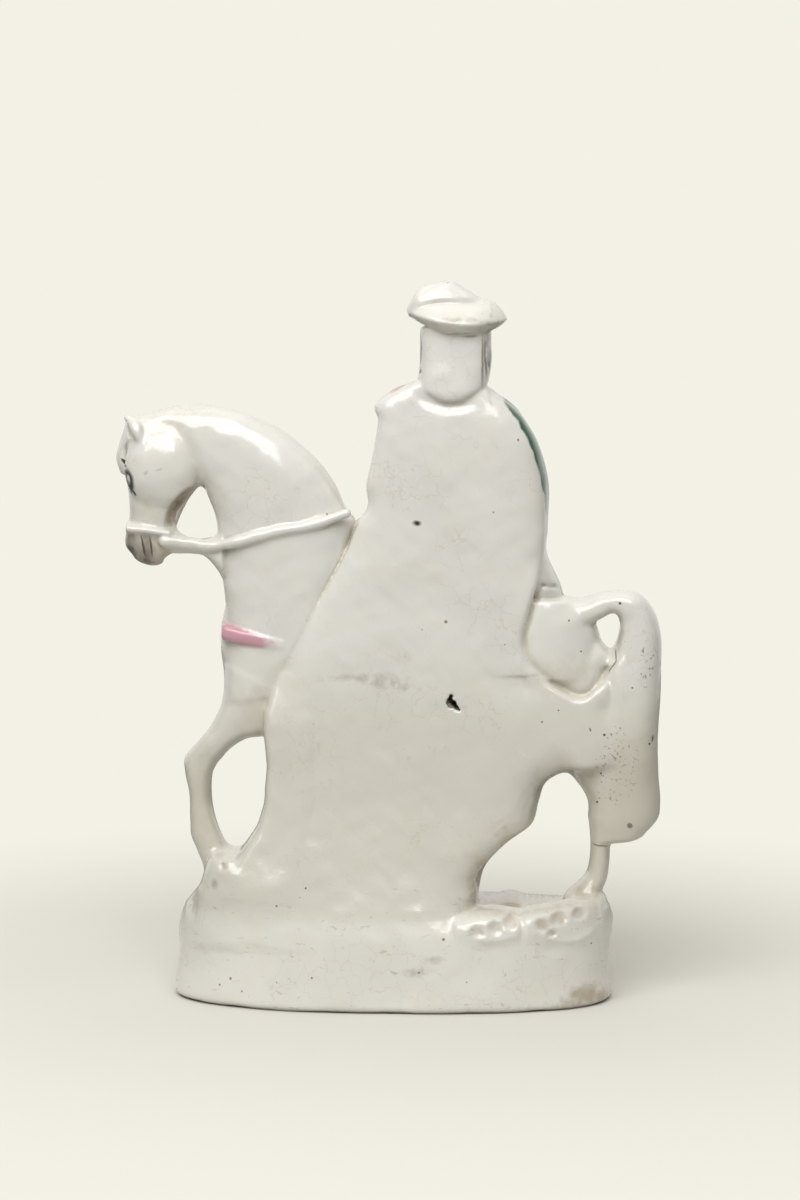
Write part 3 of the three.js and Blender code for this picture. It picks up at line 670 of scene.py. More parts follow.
class Relief:
    """A height over every point of X and Z, to which each mark adds its own."""

    def __init__(self, x, z):
        self.x, self.z = np.meshgrid(x, z, indexing="ij")
        self.height = np.zeros(self.x.shape)

    def away(self, points):
        """Distance from a line through the points, and how far along it, from 0 to 1."""
        points = np.array(points, float)
        steps = np.hypot(*np.diff(points, axis=0).T)
        total = steps.sum()
        best = np.full(self.x.shape, 1e9)
        along = np.zeros(self.x.shape)
        run = 0.0
        for (ax, az), (bx, bz), step in zip(points[:-1], points[1:], steps):
            t = np.clip(((self.x - ax) * (bx - ax) + (self.z - az) * (bz - az)) / step ** 2, 0, 1)
            away = np.hypot(self.x - ax - t * (bx - ax), self.z - az - t * (bz - az))
            nearer = away < best
            best[nearer] = away[nearer]
            along[nearer] = (run + t[nearer] * step) / total
            run += step
        return best, along

    def stroke(self, points, width, height, taper=0.0, steep=2.0):
        """A rounded ridge, or a groove where the height is below 0, thinning at both ends."""
        points = through(points, CUTS)
        away, along = self.away(points)
        ends = np.clip(np.minimum(along, 1 - along) / taper, 0, 1) if taper else 1.0
        self.height += height * ends * np.exp(-(away / width) ** steep)

    def pad(self, x, z, rx, rz, height, tilt=0.0, steep=2.0):
        """A soft raised or sunk oval."""
        turn = math.radians(tilt)
        u = ((self.x - x) * math.cos(turn) + (self.z - z) * math.sin(turn)) / rx
        v = (-(self.x - x) * math.sin(turn) + (self.z - z) * math.cos(turn)) / rz
        self.height += height * np.exp(-(u * u + v * v) ** (steep / 2))

    def lumps(self, wave, height, draws, seed):
        """Low hand-pressed unevenness, of about this wavelength."""
        rng = np.random.default_rng(seed)
        waves = np.zeros(self.x.shape)
        for _ in range(draws):
            turn = rng.uniform(0, np.pi)
            length = wave * rng.uniform(0.7, 1.5)
            phase = rng.uniform(0, 2 * np.pi)
            waves += np.sin(2 * np.pi * (self.x * math.cos(turn) + self.z * math.sin(turn)) / length + phase)
        self.height += height * waves / math.sqrt(draws)


# Lines on the back, in millimetres of X and Z

STEP_OF_NECK = [(13.9, 203.7), (17.1, 192.8), (22.8, 182.2), (28.8, 172), (35.2, 158.1), (41, 147.6),
                (46.8, 137.2), (51, 126)]
STEP_OF_RUMP = [(-65, 177.5), (-62.4, 172.5), (-60, 162.3), (-58.6, 155.5), (-60.8, 146.8), (-67.3, 139.9),
                (-74.3, 135.4), (-79, 133), (-82.8, 132.6), (-86, 134.6), (-89.2, 138.6), (-92.4, 142.6)]
UNDER_HAIR = [(-12.1, 261.5), (-14.6, 256.9), (-24.8, 253.4), (-33, 254), (-38.5, 257.6)]
CHIN_WALL = [(92.4, 200.6), (91.2, 207.6), (87.2, 213.4), (82.4, 217), (76.4, 217.6)]
CHEEK_EDGE = [(105, 240), (98.6, 243.4), (92, 244.2), (87.4, 242), (84, 237), (80.8, 230.4), (79.3, 224),
              (80, 219)]
HIND_GAP_EDGE = [(-82, 101.6), (-72, 98.6), (-66.6, 92), (-64.4, 84), (-61.6, 75), (-51.6, 66.4), (-42.4, 57),
                 (-38.4, 46)]
GAP_BRUSHING = [
    [(-54.4, 79.6), (-56.6, 87.5), (-61.6, 94), (-67.4, 98.6)], [(-44.6, 72), (-50.2, 76.6), (-57.6, 78.6)],
    [(-42.4, 73.4), (-48.6, 79.4), (-55.4, 81.6)], [(-57.4, 80), (-59.6, 86.6), (-64.4, 91.6)],
]
LOBE_LIPS = [
    [(-29.6, 39), (-35.9, 34.6), (-44.3, 31.6), (-52.6, 33), (-59, 36)],
    [(-61, 36), (-69.3, 31.6), (-77.7, 29.6), (-86, 31.8), (-92.2, 37)],
]
CLOAK_HEM = [(-63.6, 178.9), (-68.8, 177.1), (-75.4, 175.6)]
PLUME_STRANDS = [
    [(-10.4, 295.4), (-17.9, 298.9), (-26.3, 299.7), (-31.7, 297.2), (-38.7, 296.2)],
    [(-10.6, 293.6), (-22.1, 296.2), (-32.5, 296.2), (-42.9, 294.6)],
    [(-12, 298), (-17.1, 301.6), (-24.2, 303.6)], [(-25, 302.4), (-29.2, 300.8), (-33.4, 298)],
    [(-28, 304), (-34.6, 300.8), (-40, 297.6)],
]
# Fingertip dimples: place and size
GROUND_DIMPLES = [(-39.4, 35, 2.4), (-46.6, 36.6, 2.6), (-53, 38.6, 2.7), (-66.4, 37, 2.6), (-73, 39, 2.8),
                  (-81.6, 40.4, 2.4), (-70, 33.4, 1.6)]


def back_relief(x, z):
    """Unevenness left by hand pressing, then the steps, hollows and tool marks that the photograph shows."""
    r = Relief(x, z)
    r.lumps(34, 0.22, 14, 3)
    r.lumps(12, 0.1, 20, 5)
    r.lumps(6, 0.035, 24, 9)
    r.stroke(STEP_OF_NECK, 0.9, -0.35)
    r.stroke(STEP_OF_RUMP, 1.5, -1.2)
    r.stroke(UNDER_HAIR, 2.4, -0.9, 0.25)
    r.stroke(CLOAK_HEM, 0.9, -1.1, 0.15)
    r.stroke(CHIN_WALL, 1.6, -3.2, 0.12, 5)
    r.stroke(CHEEK_EDGE, 3.0, -1.4, 0.15)
    r.stroke(HIND_GAP_EDGE, 7, -3.4, 0.1)
    for line in GAP_BRUSHING:
        r.stroke(line, 0.7, -0.2, 0.3)
    for lip in LOBE_LIPS:
        r.stroke(lip, 1.5, 0.5, 0.2)
    for strand in PLUME_STRANDS:
        r.stroke(strand, 0.9, -0.55, 0.3)
    for n, (dx, dz, size) in enumerate(GROUND_DIMPLES):
        r.pad(dx, dz, 1.2 * size, 0.95 * size, -1.2, 24 - 13 * (n % 3), 4)
    # The hollow beside the mound, and marks beside the hoof
    r.pad(81.8, 41, 1.9, 5.6, -1.7, 14)
    r.pad(68.5, 60.2, 1.5, 1.4, -0.7)
    r.pad(72.2, 52.2, 1.4, 2.0, -0.6, 20)
    # The ear's hollow and the line where the near side of the face ends
    r.stroke([(110.4, 246.4), (109, 242), (107.6, 238.6)], 0.8, -1.5, 0.2)
    r.stroke([(108.4, 238.4), (110.2, 234.6), (111, 230.6), (110.8, 227)], 0.7, -0.8, 0.3)
    return r.height


# Buttons of the coat, down a line that leans a little
BUTTONS = [(-23.4 + 0.02 * (z - 212), z) for z in (246, 239, 232, 225, 218)]

# Ridges and grooves on the front: width, height, how far they thin at the ends, and lines
FRONT_LINES = (
    # Bridle
    (1.5, 0.9, 0.04, ([(98, 202), (98.6, 213), (100.6, 226), (103.6, 240)],
                      [(103.6, 239), (108, 237), (111, 234)],
                      [(102, 240), (95, 231), (89.6, 220)])),
    # Mouth of the horse
    (0.9, -0.9, 0.2, ([(111, 190.6), (106, 190), (102, 191.6)],)),
    # Seams, belt, collar and cuffs of the coat
    (0.8, -0.7, 0.1, ([(-28, 250), (-26.4, 236), (-25, 222), (-25.6, 212)],)),
    (2.0, 1.0, 0.03, ([(-49, 213), (-30, 209.5), (-8, 212.5)], [(-38, 254.6), (-28, 250.6), (-18, 254.6)])),
    (1.3, 0.8, 0.05, ([(9, 206), (12.6, 200)], [(-44, 211), (-40, 203)])),
    (1.0, -0.8, 0.2, ([(-1, 240), (-6, 234), (-5, 226)], [(3, 214), (-2, 210)], [(-50, 236), (-55, 230)],
                      [(-50, 222), (-46, 216)], [(-12, 207), (-9, 197), (-10, 190)], [(-20, 206), (-20, 196)],
                      [(-40, 246), (-36, 238), (-35, 230)], [(-17, 246), (-19, 238), (-19, 230)])),
    # Folds of the breeches and boots
    (1.2, -0.9, 0.2, ([(-30, 192), (-20, 188), (-14, 190)], [(-24, 180), (-14, 178), (-8, 181)],
                      [(-8, 170), (-2, 174), (4, 172)], [(-4, 131), (-1, 133), (3, 132)],
                      [(-5, 127), (0, 128)])),
    # Stirrup leather and iron
    (1.3, 1.0, 0.03, ([(-13, 170), (-11, 150), (-9, 133)],
                      [(-9, 133), (-8, 122), (4, 117), (9, 122), (4, 131)])),
    # Border of the saddle cloth
    (1.1, 0.8, 0.03, ([(13, 180), (14, 150), (4, 144.4), (-20, 141), (-40, 144), (-53, 152), (-50, 176)],)),
    # Hair beside the face
    (0.8, -0.8, 0.15, ([(-16, 283), (-15.2, 272), (-17, 261)], [(-18.6, 283), (-17.6, 271), (-19.6, 262)],
                       [(-40, 283), (-40.8, 272), (-39, 261)], [(-37.4, 283), (-38.4, 271), (-36.4, 262)])),
    # Brows and mouth of the rider
    (0.9, 0.4, 0.2, ([(-34.8, 274.8), (-32.2, 276), (-29.8, 275.2)],
                     [(-26.2, 275.2), (-23.8, 276), (-21.2, 274.8)])),
    (0.6, -0.5, 0.25, ([(-30.8, 262.8), (-28, 262.4), (-25.2, 262.8)],)),
)

# Stones of the ground
STONES = [(-84, 34), (-68, 28), (-52, 36), (-38, 26), (-24, 34), (24, 26), (40, 35), (56, 27), (72, 35),
          (86, 28)]

# Soft raised and sunk ovals on the front: place, half sizes, height, turn and steepness
FRONT_PADS = (
    # Cheek, eye and nostril of the horse
    (94.6, 224, 12, 12, 0.9), (107.4, 222, 2.2, 4.4, 0.7), (109.4, 194.4, 1.4, 1.9, -1.0, 20),
    # Shoulder, haunch and joints of the legs
    (56, 152, 12, 17, 1.0, 10), (-82, 128, 11, 17, 1.2, -20), (80, 100, 4, 5, 0.6), (44, 96, 4.5, 5, 0.6),
    (-57, 90, 4.6, 5.4, 0.7),
    # Buttons
    *((x, z, 1.2, 1.2, 0.9, 0, 4) for x, z in BUTTONS),
    # Eyes, lips and chin of the rider
    (-32.2, 273.2, 3, 2.2, -0.6), (-23.8, 273.2, 3, 2.2, -0.6), (-32.2, 272.6, 1.9, 1.1, 0.6),
    (-23.8, 272.6, 1.9, 1.1, 0.6), (-28, 263.9, 2.1, 0.8, 0.4), (-28, 261.2, 1.8, 0.8, 0.4),
    (-28, 258, 3, 2, 0.5),
    # Stones, each of its own size and turn
    *((x, z, 8 + 3 * math.sin(x), 5.5 + 1.5 * math.cos(3 * x), 1.5, 20 * math.sin(2 * x), 4)
      for x, z in STONES),
)


def front_relief(x, z):
    """Plainer than the real front, which the photograph doesn't show, and in keeping with the back."""
    r = Relief(x, z)
    r.lumps(30, 0.15, 12, 21)
    for width, height, taper, lines in FRONT_LINES:
        for line in lines:
            r.stroke(line, width, height, taper)
    for pad in FRONT_PADS:
        r.pad(*pad)
    for strand in PLUME_STRANDS:
        r.stroke(strand, 0.9, -0.7, 0.3)
    # Mane, tail and folds of the cloak
    crest = [(99, 246), (84, 248), (68, 245.5), (52, 239), (38, 229), (26, 216)]
    r.stroke([(x - 4, z - 8) for x, z in crest], 9.5, 1.2, 0.1, 4)
    for n, (x, z) in enumerate(through(crest, 3)):
        sway = 1.6 * math.sin(2.1 * n)
        strand = [(x, z), (x - 3 + sway, z - 8), (x - 4 - sway, z - 14), (x - 7 + sway, z - 20)]
        r.stroke(strand, 1.0, -1.0, 0.2)
    for rows, shares, depth in ((TAIL[1:], (0.2, 0.4, 0.6, 0.8), -0.9),
                                (CLOAK, (0.2, 0.38, 0.56, 0.74), -1.1)):
        for share in shares:
            r.stroke([(a + share * (c - a), b + share * (d - b)) for a, b, c, d, *_ in rows], 1.2, depth, 0.1)
    # Grass between the stones
    for n in range(26):
        foot = -88 + 7 * n
        lift = n % 3
        lean = 3 * math.sin(1.7 * n)
        for blade in (-2, 0, 2):
            r.stroke([(foot, 9 + lift), (foot + blade, 15 + lift), (foot + 2 * blade + lean, 20 + lift)],
                     0.7, 0.5, 0.3)
    return r.height


def vent(clay):
    """A ragged vent that let kiln gases out, pressed into the middle of the back. Each prick has its place,
    its radius and the Y at which it ends."""
    for x, z, radius, end in ((-27.2, 131.7, 0.9, 5), (-26.7, 129.8, 1.4, 3), (-28.1, 128.4, 1.6, 3),
                              (-29.4, 126.9, 1.1, 4), (-30.5, 126, 0.7, 9), (-26.9, 127.6, 1.1, 13),
                              (-25.6, 128.7, 0.6, 11)):
        clay.carve(bar([[x, 20, z, radius], [x, 15, z, radius * 0.95], [x, end, z - 0.4, radius * 0.8]]), 0.3)


def skin(clay, name):
    """The clay's surface as a mesh in metres."""
    grid = vdb.FloatGrid(Clay.FAR)
    grid.transform = vdb.createLinearTransform(voxelSize=clay.pitch)
    grid.copyFromArray(clay.values, ijk=tuple(int(i) for i in clay.low))
    points, triangles, quads = grid.convertToPolygons(isovalue=0.0, adaptivity=0.0)
    mesh = bpy.data.meshes.new(name)
    mesh.from_pydata(points * MILLIMETRE, [], quads[:, ::-1].tolist() + triangles[:, ::-1].tolist())
    return mesh


# Edges and hollows are told apart over this many millimetres
EDGE_REACH = 1.3

# What a point far outside all ovals reads, in millimetres
OUTSIDE = -20.0


def mark(mesh, clay):
    """Keeps with each point how much it lies on an edge or in a hollow, and how far inside each kind of form
    and each painted area."""
    points = np.empty(len(mesh.vertices) * 3, np.float32)
    mesh.vertices.foreach_get("co", points)
    points = points.reshape(-1, 3) / MILLIMETRE
    reach = max(1, round(EDGE_REACH / clay.pitch))
    edges = read_off(softened(clay.values, reach), clay.low, clay.pitch, points, 0)
    keep(mesh, "edge", edges)
    kinds = sorted(clay.kinds)
    away = np.array([clay.kind_distance(kind, points) for kind in kinds])
    for kind in ENAMELS:
        own = kinds.index(kind)
        keep(mesh, "in_" + kind, np.min(np.delete(away, own, axis=0), axis=0) - away[own])
    for area, (_, _, _, ovals) in WASHES.items():
        keep(mesh, area, inside_of(points, ovals))
    keep(mesh, "peppered", inside_of(points, PEPPERED))


def inside_of(points, ovals):
    """About how far each point lies inside the ovals, in millimetres, and below 0 outside."""
    best = np.full(len(points), OUTSIDE)
    for x, y, z, rx, ry, rz, tilt in ovals:
        turn = math.radians(tilt)
        dx, dy, dz = (points - (x, y, z)).T
        across = (dx * math.cos(turn) - dz * math.sin(turn)) / rx
        along = (dx * math.sin(turn) + dz * math.cos(turn)) / rz
        away = np.sqrt(across ** 2 + (dy / ry) ** 2 + along ** 2)
        best = np.maximum(best, (1 - away) * min(rx, rz))
    return best


def keep(mesh, name, values):
    """Stores one number with each point, for the material to read."""
    attribute = mesh.attributes.new(name, "FLOAT", "POINT")
    attribute.data.foreach_set("value", np.ascontiguousarray(values, np.float32))


class FLATBACK_OT_figure(bpy.types.Operator):
    """Builds the whole figure, one press-moulded casting, and sets it in the place of its solid"""
    bl_idname = "flatback.figure"
    bl_label = "Figure"

    def execute(self, context):
        clay = Clay(CLAY_LOW, CLAY_HIGH, sizes().pitch)
        gather(clay)
        clay.press(back_relief(clay.x, clay.z) * sizes().relief,
                   front_relief(clay.x, clay.z) * sizes().relief)
        vent(clay)
        mesh = skin(clay, PIECE)
        piece = bpy.data.objects.new(PIECE, mesh)
        context.scene.collection.objects.link(piece)
        lighter = piece.modifiers.new("Fewer faces", "DECIMATE")
        lighter.ratio = min(1.0, sizes().faces / (2 * len(mesh.polygons)))
        piece.data = bpy.data.meshes.new_from_object(piece.evaluated_get(context.evaluated_depsgraph_get()))
        piece.modifiers.clear()
        piece.data.name = PIECE
        bpy.data.meshes.remove(mesh)
        piece.data.shade_smooth()
        mark(piece.data, clay)
        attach(piece, "root")
        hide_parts(NODE)
        return {"FINISHED"}


# Finishes

# Broad washes of enamel, smoke, dirt, stain and painted shade: colour, strength, how soft the edge is in mm,
# and ovals as place, half sizes and turn. An oval's size along Y keeps it off the other side.
WASHES = {
    # Partly stain low on the body, partly painted shade: below the cheek, on the legs, under the rump, along
    # the gaps, in the tail's eye, at the poll and under the hat brim
    "low_stain_and_shade": ("pooled_glaze_and_shade", 0.45, 6.0, (
        (84, 8, 206, 7, 8, 12, -20), (79, 8, 214, 9, 8, 8, 0), (80, 6, 85, 5, 14, 24, 0),
        (80, 6, 66, 7, 12, 9, 0), (-88, 8, 74, 9, 14, 26, 0), (-104, 10, 92, 14, 14, 26, 0),
        (-78, 12, 139, 13, 9, 6, 0), (54, 8, 122, 10, 12, 10, 30), (-60, 20, 72, 12, 10, 9, 40),
        (-46, 26, 54, 8, 12, 10, 50), (-96, 8, 153, 4, 12, 10, 0), (103, 6, 207, 7, 10, 5, 0),
        (88, 6, 246, 12, 10, 4, 8), (-28, 15, 286, 18, 9, 3, 3), (66, 16, 64, 5, 12, 4, 0))),
    "dimples": ("thick", 0.55, 1.6, tuple(
        (x + shift * size, 33 + x / 9, z + 0.7 * shift * size, 0.8 * size, 9, 0.55 * size, 60 * shift)
        for x, z, size in GROUND_DIMPLES for shift in (-0.35, 0.4))),
    # Painted shade on the wall under the horse's chin
    "chin_wall_shade": ("crazing_and_shade", 0.3, 1.0, ((91.6, 2, 205, 1.8, 9, 5.4, 8), (88.6, 2, 211.4, 1.8, 9, 5, 32),
                                        (83.6, 2, 215.6, 5, 9, 1.8, 26))),
    # Stain and painted shade on the ground behind the lobes, along the edges of the gaps and on the front
    # ground seen through the hind gap
    "stain_and_shade_at_gaps": ("thick", 0.5, 2.5, (
        (-45, 24, 45, 10, 12, 2.4, 0), (-62, 20, 45.4, 14, 12, 1.8, 0), (-38.6, 22, 52, 2.6, 12, 6, 0),
        (-41.6, 20, 60, 3, 12, 7, 50), (-54, 18, 70, 4, 12, 9, 50), (-66, 12, 92, 3, 12, 8, 20),
        (-80, 10, 101, 8, 12, 2.4, 0), (-82, 8, 48, 8, 14, 2.6, 0), (66, 10, 68, 6, 12, 2.4, 0),
        (-58, -6, 42, 27, 26, 9, 0))),
    # Smears of dirt on the slab and the base and in the dents beside the hoof; painted shade in a crevice at
    # the hind gap, in the tail's eye and in the mound's hollow; painted shadow under the hat brim
    "grime_and_shade": ("dirt", 0.32, 1.2, (
        (12, 15, 139.6, 10, 8, 1.2, 4), (1, 15, 137.4, 6, 8, 1.6, 10), (-7.4, 16, 135.4, 3.2, 8, 1.4, 30),
        (-14.4, 36, 18, 5, 8, 1.5, 4), (-21.6, 36, 23.6, 3.4, 8, 1.4, 12), (68.5, 24, 60.4, 1.6, 9, 1.4, 0),
        (72.2, 26, 52.2, 1.4, 9, 1.8, 0), (-37.4, 28, 47.2, 2, 7, 3, 20), (-97.6, 6, 156, 1.4, 9, 5.4, -6),
        (81.6, 26, 41, 1.3, 12, 4.4, -14), (-29.6, 18, 288.6, 6, 7, 1, 3), (-42, 15, 288.2, 3, 7, 0.9, -8))),
    "base_stain": ("thick", 0.9, 2.6, ((-85, 24, 5.6, 7, 16, 3.6, 0), (-91, 20, 3.4, 5, 16, 2.4, -10),
                                       (-79, 27, 3, 4.6, 14, 1.6, 0))),
    "muzzle": ("thick", 0.55, 1.0, ((103.5, 2, 190.6, 12, 14, 8.6, 0),)),
    "muzzle_smoke": ("grey", 0.8, 1.6, ((107.6, 2, 191, 5.4, 12, 8, 6), (101, 4, 188.6, 3.4, 12, 6, 4))),
    "nostril": ("black", 0.7, 1.4, ((109, 4, 190.6, 2.2, 10, 4.4, 14), (102.4, 5, 187.6, 1.8, 8, 2.6, 0))),
    "chest_strap": ("pink", 0.9, 0.6, ((65, 4, 156.2, 22, 15, 3.9, -12),)),
    "shoulder": ("red", 0.8, 0.5, ((-4.6, 2, 261.8, 5, 13, 1.8, 38),)),
    "hair_brushing": ("brown", 0.6, 1.6, ((-43.2, 4, 273, 1.2, 9, 12, 0),)),
    "hair_edge": ("black", 0.95, 0.3, ((-12.9, 0, 276, 2.2, 13, 9, -2), (-13.2, 0, 267.6, 2.4, 14, 1.6, 0),
                                       (-43, 9, 270.2, 1, 9, 1.6, 0))),
    "cloak_edge": ("green", 0.95, 0.35, (
        (-53.4, 3, 251, 1.9, 14, 8, 38), (-58, 3, 244.4, 2.4, 15, 8, 30), (-61.8, 3, 237.6, 2.8, 15, 8, 24),
        (-64.8, 3, 230, 3, 15, 9, 18), (-67, 3, 221.4, 2.9, 15, 9, 11), (-68.2, 3, 212, 2.2, 15, 9, 4),
        (-68.2, 2, 203, 1.6, 13, 9, 0), (-68.8, 2, 193, 1.5, 13, 9, 8), (-71.6, 2, 183, 1.5, 13, 9, 22))),
    # The painted front
    "mane_brushing": ("brown", 0.5, 3.0, tuple((x, -14, z, 9, 9, 7, 40) for x, z in (
        (96, 242), (86, 243), (74, 241), (62, 237), (51, 231), (41, 223), (32, 213)))),
    "tail_brushing": ("brown", 0.45, 3.0, ((-100, -14, 166, 12, 9, 7, 0), (-106, -14, 148, 7, 9, 18, 0),
                                           (-103, -14, 112, 8, 9, 24, 0), (-101, -14, 84, 7, 9, 12, 0))),
    "moss_brushing": ("ground", 0.85, 3.0, ((-70, -30, 33, 20, 16, 7, 4), (-30, -34, 22, 18, 14, 7, -6),
                                            (6, -36, 36, 22, 16, 8, 4), (46, -34, 24, 16, 14, 8, -4),
                                            (78, -26, 36, 15, 16, 8, 6), (-14, -22, 44, 18, 12, 4, 0))),
    "ochre_brushing": ("ochre", 0.75, 2.6, ((-50, -34, 30, 10, 14, 8, 10), (-88, -22, 22, 7, 14, 7, 0),
                                            (-10, -38, 24, 12, 14, 6, -8), (28, -36, 30, 9, 14, 8, 12),
                                            (62, -30, 34, 8, 14, 8, 0), (88, -18, 22, 6, 14, 7, 0))),
    "gilt_line": ("gold", 0.8, 0.4, ((0, -40, 5.6, 88, 36, 0.9, 0),)),
    "cloth_border": ("gold", 0.8, 0.5, ((-20, -31, 141.4, 24, 6, 1.4, 0), (6, -31, 145.6, 7, 6, 1.3, -30),
                                        (14, -31, 165, 1.3, 6, 16, 3), (-44, -31, 146.4, 10, 6, 1.3, 36),
                                        (-52, -31, 162, 1.3, 6, 11, -8))),
    "hooves": ("umber", 0.85, 0.6, ((47, -16, 43, 9, 14, 5, 0), (-25, -14, 42.6, 8, 13, 4.6, 0),
                                    (-88, -6, 43, 7, 6, 4, 0), (72, -6, 58, 6, 7, 4, 20))),
    "cheeks": ("pink", 0.4, 1.6, ((-33.4, -19, 267.4, 2.6, 7, 2.4, 0), (-22.6, -19, 267.4, 2.6, 7, 2.4, 0))),
    "plume_tip": ("pink", 0.5, 2.0, ((-36, -12, 297, 7, 9, 5, -20),)),
    "boot_top": ("ochre", 0.85, 0.5, ((3.4, -30, 160.6, 12, 14, 3.6, 4),)),
}

# Where the glaze is full of fine specks
PEPPERED = ((-109, 8, 144, 6, 14, 22, -4), (-96, 12, 104, 14, 10, 22, 0))

# Enamels that fill one kind of form on the front: colour, strength and the mm of Y that they reach back to
ENAMELS = {
    "flesh": ("flesh", 0.9, 2.0), "hair": ("umber", 0.95, -2.5), "coat": ("red", 0.85, -3.0),
    "cloak": ("green", 0.9, -2.0), "cloth": ("pink", 0.75, 0.0), "boot": ("umber", 0.95, 0.0),
    "tack": ("pink", 0.7, 0.0),
}

# Small sharp touches, brushed one over the other: colour, strength, raggedness, and ovals as above
TOUCHES = (
    ("dirt", 0.75, 0.35, ((-96.2, 10, 148.6, 0.3, 8, 2.6, 0), (-94.8, 10, 144.2, 0.3, 8, 3, -30),
                          (-90.2, 4, 67.1, 4.4, 12, 0.35, -6))),
    # Two small marks on the horse's cheek, and painted shadow under the back of the hat brim
    ("dirt", 0.45, 0.6, ((100.8, 9, 225, 1.3, 6, 0.7, 30), (95.4, 9, 226.2, 1.8, 6, 0.45, 20),
                         (-35, 14, 282.4, 2.6, 6, 0.5, 0), (-30, 14, 283.4, 5, 6, 0.4, 3))),
    ("black", 0.9, 0.3, tuple((x, y, z, r, 6, r, 0) for x, y, z, r in (
        (-97.9, 10, 170.5, 0.55), (-76.4, 12, 163.5, 0.42), (-81.6, 12, 150.6, 0.36),
        (-72.4, 16, 126.2, 0.36), (-65.5, 16, 121.3, 0.36), (-91.6, 16, 116.2, 0.5),
        (-110.5, 13, 111.6, 0.45), (-90.2, 15, 99.2, 0.4), (-103, 13, 135.8, 0.4),
        (-88.7, 13, 86.4, 0.45), (-86.6, 22, 27.3, 0.4), (33.2, 32, 51.9, 0.4)))),
    ("brown", 0.75, 0.4, ((-102.6, 12, 76.5, 1.2, 6, 1.1, 0), (-85.5, 16, 118.2, 0.4, 6, 0.9, 20),
                          (-111.9, 12, 113.8, 0.5, 6, 1.5, -10), (-12.8, 15, 204.6, 1.7, 6, 1.2, 0))),
    ("black", 0.9, 0.3, ((-12.8, 15, 204.6, 0.85, 6, 0.8, 0),)),
    # The two strap ends painted on the muzzle
    ("brown", 0.35, 0.5, ((101.4, 8, 193.4, 2.0, 6, 5.6, 8),)),
    ("brown", 0.85, 0.35, ((103.1, 8, 193.6, 0.5, 6, 4.6, 10), (99.7, 8, 193.4, 0.4, 6, 4.4, 6))),
    # Eye and brow: a ring with a pale middle and a grey pupil
    ("black", 0.95, 0.2, ((108.7, 6, 221.4, 3.1, 8, 5.7, 6), (111, 4, 228.3, 2.6, 8, 0.8, -38),
                          (106.4, 6, 216.2, 0.6, 6, 1.7, 30))),
    ("glaze", 0.95, 0.2, ((108.7, 6, 221.8, 1.05, 6, 2.8, 6),)),
    ("black", 0.8, 0.3, ((108.5, 6, 220.2, 0.6, 5, 2.4, 20), (108.4, 6, 223.8, 1, 5, 0.6, 0))),
    # Hair marks and a dash on the shoulder, wrapped over from the painted front
    ("black", 0.95, 0.25, ((-11.4, 2, 264.4, 2.2, 12, 0.5, 0),)),
    ("black", 0.8, 0.5, ((-43, 8, 268, 0.5, 9, 7, 0),)),
    ("brown", 0.6, 0.45, ((-39.8, 12, 272, 0.5, 7, 9.6, 0), (-41, 11, 273, 0.5, 7, 8, 3))),
    # The rider's eyes, brows and lips, and the horse's other eye
    ("black", 0.9, 0.2, ((-32.2, -21, 273.6, 2, 6, 0.45, 0), (-23.8, -21, 273.6, 2, 6, 0.45, 0),
                         (-32.2, -21, 272.7, 0.75, 6, 0.85, 0), (-23.8, -21, 272.7, 0.75, 6, 0.85, 0),
                         (108.6, -9, 221.6, 2.2, 7, 4.8, 6), (109, -9, 228.6, 2.4, 7, 0.6, -20))),
    ("umber", 0.7, 0.3, ((-32.4, -21, 276, 2.6, 6, 0.5, -4), (-23.6, -21, 276, 2.6, 6, 0.5, 4))),
    ("red", 0.75, 0.3, ((-28, -21, 262.7, 2.4, 6, 0.9, 0),)),
    ("glaze", 0.95, 0.2, ((108.6, -9, 221.6, 1.4, 7, 3.6, 6),)),
    ("black", 0.9, 0.3, ((108.6, -9, 221, 0.8, 7, 1.6, 0),)),
    ("gold", 0.9, 0.3, tuple((x, -24, z, 1.1, 9, 1.1, 0) for x, z in BUTTONS)),
)


class Nodes:
    """The nodes of a material or a world."""

    def __init__(self, owner):
        owner.use_nodes = True
        self.tree = owner.node_tree
        self.tree.nodes.clear()

    def add(self, kind, inputs=None, out=0, **settings):
        """Adds a node with its settings, links and values, and gives one of its outputs."""
        made = self.tree.nodes.new("ShaderNode" + kind)
        for key, value in settings.items():
            setattr(made, key, value)
        for socket, value in (inputs or {}).items():
            if isinstance(value, bpy.types.NodeSocket):
                self.tree.links.new(value, made.inputs[socket])
            else:
                made.inputs[socket].default_value = value
        return made.outputs[out] if made.outputs else None


